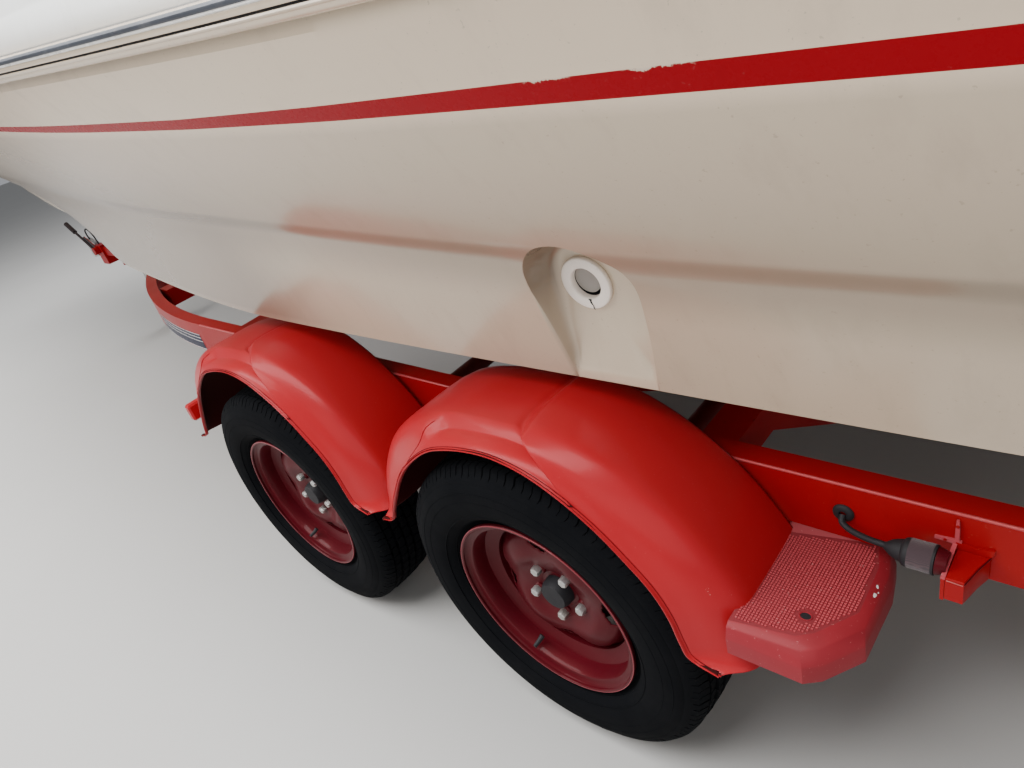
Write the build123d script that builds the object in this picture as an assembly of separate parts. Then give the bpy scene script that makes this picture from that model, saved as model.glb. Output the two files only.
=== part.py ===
from build123d import *
import math
import os

# Speedboat with a raised foredeck and an open cockpit, lying on its red
# tandem-axle trailer.  Millimetres, +X to the bow, +Y to port, +Z up.
#
# Everything but the road wheels is first laid out in the trailer's own level
# frame: x from the rear axle, y from the centre line, z above the rear axle.
# It is then pitched nose up by PITCH about the rear axle, as the trailer
# stands on its jockey wheel, and lifted so that the tyres stand on z = 0.

os.makedirs("parts", exist_ok=True)

# ---------------------------------------------------------------- sizes
PITCH = 2.9            # nose-up pitch of trailer and boat, degrees
TYRE_R = 325.0         # 14 inch wheel with a van tyre
TYRE_W = 185.0
AXLE_PITCH = 820.0     # on the ground, wheel centre to wheel centre
RIM_FACE_Y = 950.0     # outer plane of the rim flange
RIM_W = 148.0
TYRE_Y = RIM_FACE_Y - RIM_W / 2 - 2.0
RIM_R = 195.0          # flange
BEAD_R = 178.0

BEAM_OUT_Y = 725.0     # side beam, outer face
BEAM_W = 40.0
BEAM_TOP = 274.0
BEAM_H = 100.0
BEAM_AFT = -1250.0
BEAM_BEND_X = 1500.0   # where the beam starts to curve in
BEAM_R = 1800.0
BEAM_TURN = 33.0       # degrees

DRAW_W = 80.0          # drawbar
DRAW_TOP = 80.0
DRAW_H = 100.0
DRAW_AFT = 1930.0
DRAW_FORE = 4060.0
NECK_TOP = 76.0        # narrower neck between the drawbar and the overrun housing

SOLE_TOP = 500.0
SOLE_T = 30.0
COCKPIT_AFT = -1350.0
COCKPIT_FORE = 1330.0

SIN, COS = math.sin(math.radians(PITCH)), math.cos(math.radians(PITCH))


def world_z(x, z):
    return x * SIN + z * COS + TYRE_R


def level_z_for(x, wz):
    """z in the level frame at x for a height wz above the ground."""
    return (wz - TYRE_R - x * SIN) / COS


# front axle: same height above the ground as the rear one
FRONT_AXLE_X = AXLE_PITCH * COS
FRONT_AXLE_Z = -AXLE_PITCH * SIN

nodes = {}


def put(name, *shapes):
    nodes.setdefault(name, []).extend(shapes)


def box(x0, x1, y0, y1, z0, z1):
    return Pos((x0 + x1) / 2, (y0 + y1) / 2, (z0 + z1) / 2) * Box(
        abs(x1 - x0), abs(y1 - y0), abs(z1 - z0))


def poly_face(pts):
    return make_face(Polyline(*[Vector(*p) for p in pts], close=True))


def prism(pts, direction, amount):
    """Extrude a closed polygon of 3-D points."""
    return extrude(poly_face(pts), amount=amount, dir=Vector(*direction))


def rod(p, q, r):
    p, q = Vector(*p), Vector(*q)
    d = q - p
    pl = Plane(origin=p, z_dir=d)
    return pl * Cylinder(r, d.length, align=(Align.CENTER, Align.CENTER, Align.MIN))


def ring(p, q, r, ri):
    p, q = Vector(*p), Vector(*q)
    d = q - p
    pl = Plane(origin=p, z_dir=d)
    a = pl * Cylinder(r, d.length, align=(Align.CENTER, Align.CENTER, Align.MIN))
    b = pl * (Pos(0, 0, -1) * Cylinder(ri, d.length + 2, align=(Align.CENTER, Align.CENTER, Align.MIN)))
    return a - b


def cone(p, q, r0, r1):
    """Tapered rod from p to q."""
    p, q = Vector(*p), Vector(*q)
    d = q - p
    pl = Plane(origin=p, z_dir=d)
    return pl * Cone(r0, r1, d.length, align=(Align.CENTER, Align.CENTER, Align.MIN))


def lead(points, r):
    """Round lead along a route, its arcs as large as the runs allow."""
    pts = [Vector(*p) for p in points]
    radii = []
    for a, b, c in zip(pts, pts[1:], pts[2:]):
        u, v = b - a, c - b
        turn = math.radians(u.get_angle(v))
        radii.append(0.45 * min(u.length, v.length) / math.tan(turn / 2))
    print("lead radii", [round(v) for v in radii], "length", round(sum((b - a).length for a, b in zip(pts, pts[1:]))))
    path = FilletPolyline(*pts, radius=radii)
    return sweep(Plane(origin=path @ 0, z_dir=path % 0) * Circle(r), path=path)


def turned(pts_yr, x, z):
    """Turned piece about a line along Y through (x, z); rows are y, radius."""
    f = poly_face([(x, y, z + r) for y, r in pts_yr])
    return revolve(f, Axis((x, 0, z), (0, 1, 0)), 360)


def mirror_y(s):
    return mirror(s, Plane.XZ)


def fuse(*s):
    out = s[0]
    for t in s[1:]:
        out = out + t
    return out


# ---------------------------------------------------------------- hull lines
# x, keel z, chine y, chine z, knuckle y, knuckle z, sheer y, sheer z
HULL = [
    (-1600, 190, 760, 442, 862, 692, 1000, 1016),
    (-400, 181, 802, 440, 903, 699, 1062, 1028),
    (750, 178, 826, 443, 909, 736, 1090, 1062),
    (1600, 177, 775, 478, 850, 762, 1078, 1093),
    (2400, 178, 595, 512, 758, 780, 1038, 1122),
    (3200, 184, 395, 566, 640, 795, 958, 1153),
    (4000, 205, 275, 615, 498, 816, 840, 1182),
    (4700, 281, 190, 664, 352, 840, 705, 1209),
    (5300, 455, 100, 718, 215, 866, 545, 1232),
    (5800, 668, 32, 795, 96, 930, 352, 1253),
    (6200, 905, 12, 950, 40, 1035, 180, 1268),
    (6440, 1130, 6, 1150, 14, 1180, 52, 1276),
]
HULL_T = 20.0


def row(x):
    """Hull line values at x, linear between stations (for fittings)."""
    for a, b in zip(HULL, HULL[1:]):
        if a[0] <= x <= b[0]:
            t = (x - a[0]) / (b[0] - a[0])
            return [u + t * (v - u) for u, v in zip(a, b)]
    return list(HULL[0] if x < HULL[0][0] else HULL[-1])


def bottom_z(x, y):
    """Height of the hull's bottom panel."""
    r = row(x)
    return r[1] + (r[3] - r[1]) * min(abs(y) / r[2], 1.0)


def panel_y(x, z):
    """Half breadth of the hull's side at height z."""
    r = row(x)
    if z <= r[5]:
        t = max(0.0, (z - r[3]) / (r[5] - r[3]))
        return r[2] + t * (r[4] - r[2])
    t = min(1.0, (z - r[5]) / (r[7] - r[5]))
    return r[4] + t * (r[6] - r[4])


def hull_section(r, inset=0.0, lift=0.0):
    x, kz, cy, cz, ny, nz, sy, sz = r
    if inset:
        kz += inset * 1.1
        cy -= inset * 0.85
        cz += inset * 0.55
        ny -= inset
        sy -= inset
        sz += lift
    pts = [(x, 0, kz), (x, cy, cz), (x, ny, nz), (x, sy, sz),
           (x, -sy, sz), (x, -ny, nz), (x, -cy, cz)]
    return poly_face(pts)


OUTER_ROWS = [0, 1, 2, 3, 4, 5, 6, 7, 8, 9, 10, 11]
hull_outer = loft([hull_section(HULL[i]) for i in OUTER_ROWS], ruled=True)
inner_rows = [list(HULL[i]) for i in range(0, 9)]
inner_rows[0][0] = HULL[0][0] + 30.0     # the transom's thickness
hull_inner = loft([hull_section(r, HULL_T, 12.0) for r in inner_rows], ruled=True)
hull = hull_outer - hull_inner

# moulded recess for the side outlet, both sides, with its backing inside
OUT_X, OUT_Z = -163.0, 611.0             # centre of the outlet
OUT_R, OUT_HOLE = 40.0, 23.0
# outline of the recess on the hull's side, x, z: forward wall, top, after wall, foot
RECESS = [(-100, 440), (-100, 614), (-112, 658), (-146, 692), (-190, 705), (-241, 691), (-276, 659), (-276, 610), (-258, 526), (-238, 440)]
FLOOR_Y0, FLOOR_Z0, FLOOR_LEAN = 803.0, 449.0, 0.09
WALL_DRAFT = 9.0                         # how much the walls open outward over their depth


def floor_y(z):
    return FLOOR_Y0 + (z - FLOOR_Z0) * FLOOR_LEAN


def recess(side):
    cx, cz = -185.0, 575.0

    def ring_at(grow, y):
        out = []
        for x, z in RECESS:
            d = math.hypot(x - cx, z - cz)
            k = 1 + grow / d
            xx, zz = cx + (x - cx) * k, cz + (z - cz) * k
            out.append((xx, y if y else floor_y(zz), zz))
        return out
    s = loft([poly_face(ring_at(-3.0, None)), poly_face(ring_at(WALL_DRAFT, 985.0))], ruled=True)
    return s if side > 0 else mirror_y(s)


def backing(side):
    s = loft([poly_face([(-60, 798, 728), (-330, 798, 728), (-330, 778, 452), (-60, 778, 452)]),
              poly_face([(-60, 960, 728), (-330, 960, 728), (-330, 940, 452), (-60, 940, 452)])],
             ruled=True)
    return s if side > 0 else mirror_y(s)


OUT_Y = floor_y(OUT_Z)
out_n = Vector(0, 1, -FLOOR_LEAN).normalized()


def outlet_at(side, d):
    """Point on the outlet's own axis, d outside the recess floor."""
    return (OUT_X, side * (OUT_Y + out_n.Y * d), OUT_Z + out_n.Z * d)


for side in (1, -1):
    hull = hull + (backing(side) & hull_outer)
    hull = hull - recess(side)
    hull = hull - rod(outlet_at(side, -70), outlet_at(side, 170), 33.0)

# side outlets: flanged ring, with a rubber flap behind it
for side in (1, -1):
    r = ring(outlet_at(side, 0.3), outlet_at(side, 7), OUT_R, OUT_HOLE)
    t = ring(outlet_at(side, -40), outlet_at(side, 7), 32.0, OUT_HOLE)
    put("side_outlets", r + t)
    put("side_outlets", rod(outlet_at(side, -16), outlet_at(side, -12), OUT_HOLE - 0.4))

# propeller shaft tunnel through the bottom
SHAFT_R = 14.0
PROP_X, PROP_Z = -1300.0, 15.0
SHAFT_SLOPE = 0.2125
PROP_R = 140.0


def shaft_z(x):
    return PROP_Z + (x - PROP_X) * SHAFT_SLOPE


shaft_dir = Vector(1, 0, SHAFT_SLOPE).normalized()
hull = hull - rod((-850, 0, shaft_z(-850)), (-120, 0, shaft_z(-120)), SHAFT_R + 0.05)
# rudder stock tube and cut in the bottom
RUD_X = -1500.0
hull = hull - rod((RUD_X, 0, 100), (RUD_X, 0, 330), 13.05)
put("hull_shell", hull)

# ---------------------------------------------------------------- deck
# band height above the sheer, tumblehome of the band, crown above the band
# x, band h, tumble, crown
DECK = [
    (-1600, 185, 45, 14),
    (-400, 195, 50, 18),
    (750, 200, 55, 60),
    (1600, 200, 60, 110),
    (2400, 196, 62, 118),
    (3200, 186, 64, 104),
    (4000, 170, 62, 80),
    (4700, 150, 56, 56),
    (5300, 128, 46, 36),
    (5800, 105, 34, 22),
    (6200, 84, 20, 12),
    (6440, 70, 8, 6),
]
DECK_T = 14.0


def deck_section(i, inset=0.0):
    x, h, tum, crown = DECK[i]
    x += 30.0 if inset and i == 0 else 0.0    # the after end's thickness
    sy, sz = HULL[i][6], HULL[i][7]
    by, bz = sy - tum, sz + h
    zb = sz
    if inset:
        sy, by, bz, crown = sy - inset, by - inset, bz - inset, crown
        zb = sz - 12
    pts = [(x, sy, zb), (x, by, bz), (x, by * 0.62, bz + crown * 0.78), (x, 0, bz + crown),
           (x, -by * 0.62, bz + crown * 0.78), (x, -by, bz), (x, -sy, zb)]
    return poly_face(pts)


def deck_top(x, y):
    """Height of the deck's top, linear between stations."""
    for i in range(len(DECK) - 1):
        a, b = DECK[i], DECK[i + 1]
        if a[0] <= x <= b[0]:
            t = (x - a[0]) / (b[0] - a[0])
            d = [u + t * (v - u) for u, v in zip(a, b)]
            h = row(x)
            by, bz = h[6] - d[2], h[7] + d[1]
            k = abs(y) / by
            if k < 0.62:
                return bz + d[3] * (1 - 0.22 * k / 0.62)
            return bz + d[3] * 0.78 * (1 - (k - 0.62) / 0.38)
    return 0.0


deck_outer = loft([deck_section(i) for i in range(12)], ruled=True)
deck_inner = loft([deck_section(i, DECK_T) for i in range(0, 10)], ruled=True)
deck = deck_outer - deck_inner

# cockpit well, x and half width
WELL = [(COCKPIT_AFT, 700), (-400, 765), (750, 780), (COCKPIT_FORE, 735)]


def well_prism(grow, z0, z1):
    pts = [(x + (grow if i == 3 else -grow if i == 0 else 0), w + grow, z0)
           for i, (x, w) in enumerate(WELL)]
    pts += [(x, -y, z) for x, y, z in reversed(pts)]
    return prism(pts, (0, 0, 1), z1 - z0)


deck = deck - well_prism(0, 900, 1700)

# hatch opening in the foredeck
HAT_X0, HAT_X1, HAT_W = 3050.0, 3550.0, 250.0
deck = deck - box(HAT_X0, HAT_X1, -HAT_W, HAT_W, 1150, 1700)
# cabin side windows, cut through the raised side
WIN_X0, WIN_X1 = 1750.0, 2950.0


def window_cut(grow, y0, y1):
    zs = lambda x: row(x)[7]
    a, b = WIN_X0, WIN_X1
    pts = [(a - grow, y0, zs(a) + 62 - grow), (b + grow, y0, zs(b) + 78 - grow),
           (b - 90, y0, zs(b) + 142 + grow), (a + 120, y0, zs(a) + 158 + grow)]
    return prism(pts, (0, 1, 0), y1 - y0)


for side in (1, -1):
    w = window_cut(0, 900, 1100)
    deck = deck - (w if side > 0 else mirror_y(w))
# moulded coaming round the hatch opening
hz = deck_top(3300, 0)
deck = deck + (box(HAT_X0 - 35, HAT_X1 + 35, -HAT_W - 35, HAT_W + 35, hz - 60, hz + 24)
               - box(HAT_X0, HAT_X1, -HAT_W, HAT_W, 1000, 1700))
HATCH_HINGE = (HAT_X1 + 50, hz + 30)
for i, k in enumerate((-160.0, 130.0)):
    deck = deck + rod((HATCH_HINGE[0], k + 0.5, HATCH_HINGE[1]), (HATCH_HINGE[0], k + 29.5, HATCH_HINGE[1]), 6) + \
        box(HAT_X1 + 34, HATCH_HINGE[0], k + 0.5, k + 29.5, hz + 8, hz + 26)
put("deck_moulding", deck)

# tinted windows: a flat pane in each opening, bedded in the raised side
for side in (1, -1):
    w = window_cut(-0.5, 900, 1100)
    band = deck_outer - loft([deck_section(i, 6.0) for i in range(0, 10)], ruled=True)
    pane = w & band
    pane = pane - deck
    put("windows", pane if side > 0 else mirror_y(pane))

# ---------------------------------------------------------------- rub rail
RAIL_OUT = 22.0


def rail_section(i):
    x, sy, sz = HULL[i][0], HULL[i][6], HULL[i][7]
    y0 = sy + 0.3
    return poly_face([(x, y0, sz - 25), (x, y0 + RAIL_OUT * 0.6, sz - 18),
                      (x, y0 + RAIL_OUT, sz - 4), (x, y0 + RAIL_OUT, sz + 5), (x, y0, sz + 11)])


rail = loft([rail_section(i) for i in range(0, 12)], ruled=True)
rail = rail - hull_outer - deck_outer
put("rub_rail", rail, mirror_y(rail))

# ---------------------------------------------------------------- cockpit
liner = well_prism(-0.5, SOLE_TOP + 0.5, 1198) - well_prism(-15, SOLE_TOP - 10, 1260)
liner = liner - box(1305, 1400, -721, 721, 400, 1400) - deck
put("cockpit_liner", liner)


def sole_prism():
    pts = [(x, y, SOLE_TOP - SOLE_T) for x, y in
           ((COCKPIT_AFT, 699), (-400, 764), (750, 779), (1500, 715), (2300, 560), (3000, 330))]
    pts += [(x, -y, z) for x, y, z in reversed(pts)]
    return prism(pts, (0, 0, 1), SOLE_T)


ENG_X0, ENG_X1, ENG_W = -480.0, 470.0, 340.0
ENG_TOP = 900.0
sole = sole_prism() & hull_inner
sole = sole - box(ENG_X0 + 25, ENG_X1 - 25, -ENG_W + 25, ENG_W - 25, 400, 600)
put("cockpit_sole", sole - hull)

# engine box and its padded lid, hinged at the forward edge
ebox = box(ENG_X0, ENG_X1, -ENG_W, ENG_W, SOLE_TOP + 0.5, ENG_TOP) - \
    box(ENG_X0 + 20, ENG_X1 - 20, -ENG_W + 20, ENG_W - 20, 480, 1000)
LID_T = 25.0
KNUCKLES = [-235.0, -205.0, 175.0, 205.0]   # start of each knuckle along the axis; even ones fixed
for i, k in enumerate(KNUCKLES):
    kn = rod((ENG_X1 + 23, k + 0.5, ENG_TOP + 6), (ENG_X1 + 23, k + 29.5, ENG_TOP + 6), 6)
    if i % 2 == 0:
        ebox = ebox + kn + box(ENG_X1 - 1, ENG_X1 + 23, k + 0.5, k + 29.5, ENG_TOP - 15, ENG_TOP + 3)
put("engine_box", ebox)
lid = box(ENG_X0 - 15, ENG_X1 + 15, -ENG_W - 15, ENG_W + 15, ENG_TOP + 6, ENG_TOP + 6 + LID_T)
for i, k in enumerate(KNUCKLES):
    if i % 2:
        lid = lid + rod((ENG_X1 + 23, k + 0.5, ENG_TOP + 6), (ENG_X1 + 23, k + 29.5, ENG_TOP + 6), 6) + \
            box(ENG_X1 + 10, ENG_X1 + 23, k + 0.5, k + 29.5, ENG_TOP + 6, ENG_TOP + 12)
put("engine_lid", lid)
put("engine_lid_pad", box(ENG_X0 + 5, ENG_X1 - 5, -ENG_W + 5, ENG_W - 5,
                          ENG_TOP + 6.5 + LID_T, ENG_TOP + 6.5 + LID_T + 70))
# hinge knuckles, pairs on the fixed and the moving side, on one axis
LID_HINGE = (ENG_X1 + 23, ENG_TOP + 6)
put("engine_block", box(-330, 380, -230, 230, 330, 790))
prop_shaft = rod((PROP_X + 10, 0, shaft_z(PROP_X + 10)), (-350, 0, shaft_z(-350)), SHAFT_R)

# rear bench: base, seat cushion, back cushion
put("seat_bases", box(-1320, -930, -640, 640, SOLE_TOP + 0.5, 760))
put("seat_cushions", box(-1228, -925, -630, 630, 760.5, 860))
put("seat_cushions", box(-1325, -1235, -630, 630, 762, 1150))

# two seats: pedestal box, cushion, backrest
SEATS = [("port", 1), ("starboard", -1)]
for name, s in SEATS:
    b = box(430, 830, s * 400 if s > 0 else -740, 740 if s > 0 else s * 400, SOLE_TOP + 0.5, 740)
    put("seat_bases", b)
    c = box(400, 860, 390, 750, 740.5, 845)
    put("seat_cushions", c if s > 0 else mirror_y(c))
    bk = box(385, 480, 395, 745, 866, 1300)
    bk = bk.rotate(Axis((430, 0, 866), (0, 1, 0)), -9)
    put("seat_cushions", bk if s > 0 else mirror_y(bk))

# cabin bulkhead with its door opening
BH_X0, BH_X1 = COCKPIT_FORE + 1.0, COCKPIT_FORE + 21.0
DOOR_W, DOOR_Z0, DOOR_Z1 = 250.0, 540.0, 1260.0
bh = prism([(BH_X0, 770, SOLE_TOP + 0.5), (BH_X0, 880, 736), (BH_X0, 1050, 1080), (BH_X0, 1000, 1262),
            (BH_X0, 620, 1340), (BH_X0, 0, 1362), (BH_X0, -620, 1340), (BH_X0, -1000, 1262),
            (BH_X0, -1050, 1080), (BH_X0, -880, 736), (BH_X0, -770, SOLE_TOP + 0.5)],
           (1, 0, 0), BH_X1 - BH_X0)
bh = (bh & hull_inner) + (bh & (deck_inner))
bh = bh - box(BH_X0 - 10, BH_X1 + 10, -DOOR_W, DOOR_W, DOOR_Z0, DOOR_Z1)
DOOR_HINGE = (BH_X0 - 28.0, DOOR_W + 33.0)
for k in (660.0, 1140.0):
    bh = bh + rod((DOOR_HINGE[0], DOOR_HINGE[1], k), (DOOR_HINGE[0], DOOR_HINGE[1], k + 29), 6) + \
        box(DOOR_HINGE[0], BH_X0 + 1, DOOR_HINGE[1], DOOR_HINGE[1] + 6, k, k + 29)
put("cabin_bulkhead", bh)
# door, hinged on its port edge, closing against the bulkhead's after face
door = box(BH_X0 - 24, BH_X0 - 2, -DOOR_W - 25, DOOR_W + 25, DOOR_Z0 - 22, DOOR_Z1 + 22)
# door latch knob
door = door + rod((BH_X0 - 54, -205, 880), (BH_X0 - 20, -205, 880), 16)
for k in (690.0, 1110.0):
    door = door + rod((DOOR_HINGE[0], DOOR_HINGE[1], k), (DOOR_HINGE[0], DOOR_HINGE[1], k + 29), 6) + \
        box(DOOR_HINGE[0] - 1, BH_X0 - 23.5, DOOR_W + 5, DOOR_HINGE[1], k, k + 29)
put("cabin_door", door)

# helm console and steering wheel on the starboard side
console = prism([(1140, -712, 880), (1290, -712, 1180), (1327, -712, 1180), (1327, -712, 860)],
                (0, 1, 0), 400)
# the wheel's shaft stands square to the console's sloping face
SW_C = Vector(1178, -512, 1050)
n = Vector(-300, 0, 150).normalized()
SW_DIR = (n.X, n.Y, n.Z)
sw_pl = Plane(origin=SW_C, z_dir=n, x_dir=(0, 1, 0))
SW_R = 175.0
rim_w = sw_pl * (Pos(0, 0, 0) * Torus(SW_R, 12))
hub_w = sw_pl * Cylinder(36, 26)
spk = [sw_pl * (Rot(0, 0, a) * (Pos(SW_R / 2, 0, 0) * Box(SW_R, 24, 8))) for a in (0, 180, 270)]
col = sw_pl * (Pos(0, 0, -13) * Cylinder(15, 40, align=(Align.CENTER, Align.CENTER, Align.MAX)))
wheel = fuse(hub_w, *spk) + rim_w
put("steering_wheel", wheel)
colb = sw_pl * (Pos(0, 0, -13.4) * Cylinder(22, 60, align=(Align.CENTER, Align.CENTER, Align.MAX)))
put("helm_console", console + colb)

# windscreen: raked front and two side wings
WS = [  # base x, base y, top x, top y, top z
    (1720, 0, 1360, 0), (1560, 560, 1240, 520), (1180, 880, 980, 800), (560, 900, 620, 850)]
WS_TOP_Z = [1790, 1760, 1690, 1560]


def ws_base(i):
    x, y = WS[i][0], WS[i][1]
    return (x, y, deck_top(x, y) + 16)


def panel(i, j, t, shrink=0.0):
    """Flat-sided plate between screen corners i and j, t thick inwards."""
    a, b = Vector(*ws_base(i)), Vector(*ws_base(j))
    c = Vector(WS[j][2], WS[j][3], WS_TOP_Z[j])
    d = Vector(WS[i][2], WS[i][3], WS_TOP_Z[i])
    nrm = (b - a).cross(d - a).normalized()
    cc = c - nrm * ((c - a).dot(nrm))     # into the plane of a, b, d
    ctr = (a + b + cc + d) * 0.25
    pts = []
    for p in (a, b, cc, d):
        v = ctr - p
        pts.append(p + v * (shrink / v.length) if shrink else p)
    f = make_face(Polyline(*pts, close=True))
    return extrude(f, amount=t / 2, dir=nrm) + extrude(f, amount=t / 2, dir=nrm * -1)


frames, glasses = [], []
for i, j in ((0, 1), (1, 2), (2, 3)):
    fr = panel(i, j, 22) - panel(i, j, 40, 42)
    gl = panel(i, j, 5, 34) & panel(i, j, 40, 42.5)
    frames.append(fr)
    glasses.append(gl)
port_frame = fuse(*frames)
put("windscreen_frame", port_frame + mirror_y(port_frame) - deck_outer)
for g in glasses:
    put("windows", g, mirror_y(g))

# ---------------------------------------------------------------- cabin
berth = prism([(1700, 640, 700), (2500, 560, 700), (3200, 400, 700), (3900, 200, 700),
               (3900, -200, 700), (3200, -400, 700), (2500, -560, 700), (1700, -640, 700)],
              (0, 0, 1), 20)
well = box(1690, 2400, -180, 180, 600, 800)
put("cabin_berth", berth - well)
pad = prism([(1720, 620, 720.5), (2500, 540, 720.5), (3200, 380, 720.5), (3850, 190, 720.5),
             (3850, -190, 720.5), (3200, -380, 720.5), (2500, -540, 720.5), (1720, -620, 720.5)],
            (0, 0, 1), 90)
put("berth_cushion", pad - box(1690, 2410, -190, 190, 600, 900))

# foredeck hatch, a hinged lid over the coaming
hatch = box(HAT_X0 - 40, HAT_X1 + 40, -HAT_W - 40, HAT_W + 40, hz + 30, hz + 58)
for k in (-130.0, 160.0):
    hatch = hatch + rod((HATCH_HINGE[0], k + 0.5, HATCH_HINGE[1]), (HATCH_HINGE[0], k + 29.5, HATCH_HINGE[1]), 6) + \
        box(HAT_X1 + 35, HATCH_HINGE[0], k + 0.5, k + 29.5, hz + 30, hz + 36)
put("foredeck_hatch", hatch)

# ---------------------------------------------------------------- deck gear
# bow rail posts: x, inset from the deck edge
POSTS = [(2250, 55), (3300, 55), (4300, 52), (5250, 48), (6000, 40)]
RAIL_H = 330.0
RAIL_R = 12.5


def deck_edge(x):
    for a, b in zip(DECK, DECK[1:]):
        if a[0] <= x <= b[0]:
            t = (x - a[0]) / (b[0] - a[0])
            tum = a[2] + t * (b[2] - a[2])
            h = a[1] + t * (b[1] - a[1])
            r = row(x)
            return r[6] - tum, r[7] + h
    return 0.0, 0.0


def rail_pt(x, inset, h):
    y, z = deck_edge(x)
    return (x, y - inset, deck_top(x, y - inset) + h)


top = [rail_pt(x, i, RAIL_H) for x, i in POSTS]
start = rail_pt(1750, 55, 10)
nose = (6320, 0, top[-1][2] + 6)
route = [start] + top + [(6300, 90, top[-1][2] + 4)]
route = route + [(x, -y, z) for x, y, z in reversed(route)]
path = FilletPolyline(*[Vector(*p) for p in route],
                      radius=[220, 900, 900, 900, 200, 90, 90, 200, 900, 900, 900, 220])
sec = Plane(origin=path @ 0, z_dir=path % 0) * Circle(RAIL_R)
bow_rail = sweep(sec, path=path)
for s in (1, -1):
    for x, i in POSTS:
        p, q = rail_pt(x, i, -6), rail_pt(x, i, RAIL_H - (4 if x > 2300 else 13))
        leg = rod((p[0], s * p[1], p[2]), (q[0], s * q[1], q[2]), 11)
        foot = rod((p[0], s * p[1], p[2]), (p[0], s * p[1], p[2] + 16), 28)
        bow_rail = bow_rail + leg + foot
put("bow_rail", bow_rail - deck_outer)

# mooring cleats: x, distance in from the deck edge, side
CLEATS = [(-1450, 60, 1), (-1450, 60, -1), (1500, 60, 1), (1500, 60, -1), (5650, 60, 1), (5650, 60, -1)]
CLEAT_R = 9.0
cleat_pos = []
for x, i, s in CLEATS:
    y, z = deck_edge(x)
    y = s * (y - i)
    z = deck_top(x, y)
    base = box(x - 45, x + 45, y - 16, y + 16, z - 6, z + 12)
    legs = [rod((x + d, y, z + 6), (x + d, y, z + 46), 9) for d in (-26, 26)]
    bar = rod((x - 90, y, z + 50), (x + 90, y, z + 50), CLEAT_R)
    put("mooring_fittings", fuse(base, bar, *legs) - deck_outer)
    cleat_pos.append((x, y, z + 50))

# bow eye on the stem, and two eyes on the transom
EYE_R = 14.0


def eye_plate(x, y, z, dx):
    p = box(x - (0 if dx > 0 else 44), x + (44 if dx > 0 else 0), y - 6, y + 6, z - 26, z + 26)
    c = rod((x + dx * 44, y - 6, z), (x + dx * 44, y + 6, z), 26)
    h = rod((x + dx * 44, y - 20, z), (x + dx * 44, y + 20, z), EYE_R)
    return (p + c) - h


BOW_EYE = (4556.0, 0.0, 242.0)
eye = rod((BOW_EYE[0], -6, BOW_EYE[2]), (BOW_EYE[0], 6, BOW_EYE[2]), 24) + \
    box(BOW_EYE[0] - 34, BOW_EYE[0] + 34, -6, 6, BOW_EYE[2] + 4, BOW_EYE[2] + 60)
eye = eye - rod((BOW_EYE[0], -20, BOW_EYE[2]), (BOW_EYE[0], 20, BOW_EYE[2]), EYE_R)
put("mooring_fittings", eye - hull_outer)
STERN_EYES = [(-1644.0, 620.0, 700.0), (-1644.0, -620.0, 700.0)]
for x, y, z in STERN_EYES:
    put("mooring_fittings", eye_plate(-1600.5, y, z, -1))

# navigation lamps on the foredeck edge and an all-round lamp pole aft
for s in (1, -1):
    y, z = deck_edge(5000)
    yy = s * (y - 30)
    zz = deck_top(5000, yy)
    put("navigation_lamps", box(4950, 5050, yy - 24, yy + 24, zz - 3, zz + 48) - deck_outer)
zt = deck_top(-1520, 0)
put("navigation_lamps", rod((-1520, 0, zt - 3), (-1520, 0, zt + 14), 30) +
    rod((-1520, 0, zt + 10), (-1520, 0, zt + 420), 9) +
    rod((-1520, 0, zt + 415), (-1520, 0, zt + 480), 24) - deck)

# ---------------------------------------------------------------- stern gear
# strut, propeller, rudder
strut_x = PROP_X + 130
sz_ = shaft_z(strut_x)
boss = rod((strut_x - 40, 0, shaft_z(strut_x - 40)), (strut_x + 40, 0, shaft_z(strut_x + 40)), 26)
blade = prism([(strut_x - 35, -6, sz_), (strut_x + 35, -6, sz_),
               (strut_x + 60, -6, 205), (strut_x - 40, -6, 205)], (0, 1, 0), 12)
strut = boss + blade - rod((strut_x - 80, 0, shaft_z(strut_x - 80)),
                           (strut_x + 80, 0, shaft_z(strut_x + 80)), SHAFT_R + 0.05)
put("shaft_strut", strut - hull_outer)
prop_pl = Plane(origin=(PROP_X, 0, PROP_Z), z_dir=shaft_dir, x_dir=(0, 1, 0))
phub = prop_pl * Cylinder(27, 76)
pbl = []
for a in (0, 120, 240):
    bl = extrude(make_face(Polyline((22, -20, 0), (60, -52, 0), (108, -50, 0), (134, -20, 0), (139, 14, 0),
                                    (112, 48, 0), (60, 40, 0), (22, 20, 0), close=True)), amount=5)
    pbl.append(prop_pl * (Rot(0, 0, a) * (Rot(28, 0, 0) * (Pos(0, 0, -2.5) * bl))))
pr = fuse(phub, *pbl)
nose_c = prop_pl * (Pos(0, 0, -38) * Cone(27, 10, 40, rotation=(180, 0, 0), align=(Align.CENTER, Align.CENTER, Align.MIN)))
put("propeller", pr + nose_c + prop_shaft)
RUD_R = 13.0
rud = prism([(RUD_X - 95, -7, 120), (RUD_X + 55, -7, 135), (RUD_X + 48, -7, -75), (RUD_X - 75, -7, -100)],
            (0, 1, 0), 14)
rud = rud + rod((RUD_X, 0, 60), (RUD_X, 0, 300), RUD_R)
put("rudder", rud)

# ---------------------------------------------------------------- trailer frame
ZB, ZT = BEAM_TOP - BEAM_H, BEAM_TOP
yc = BEAM_OUT_Y - BEAM_W / 2


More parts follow.
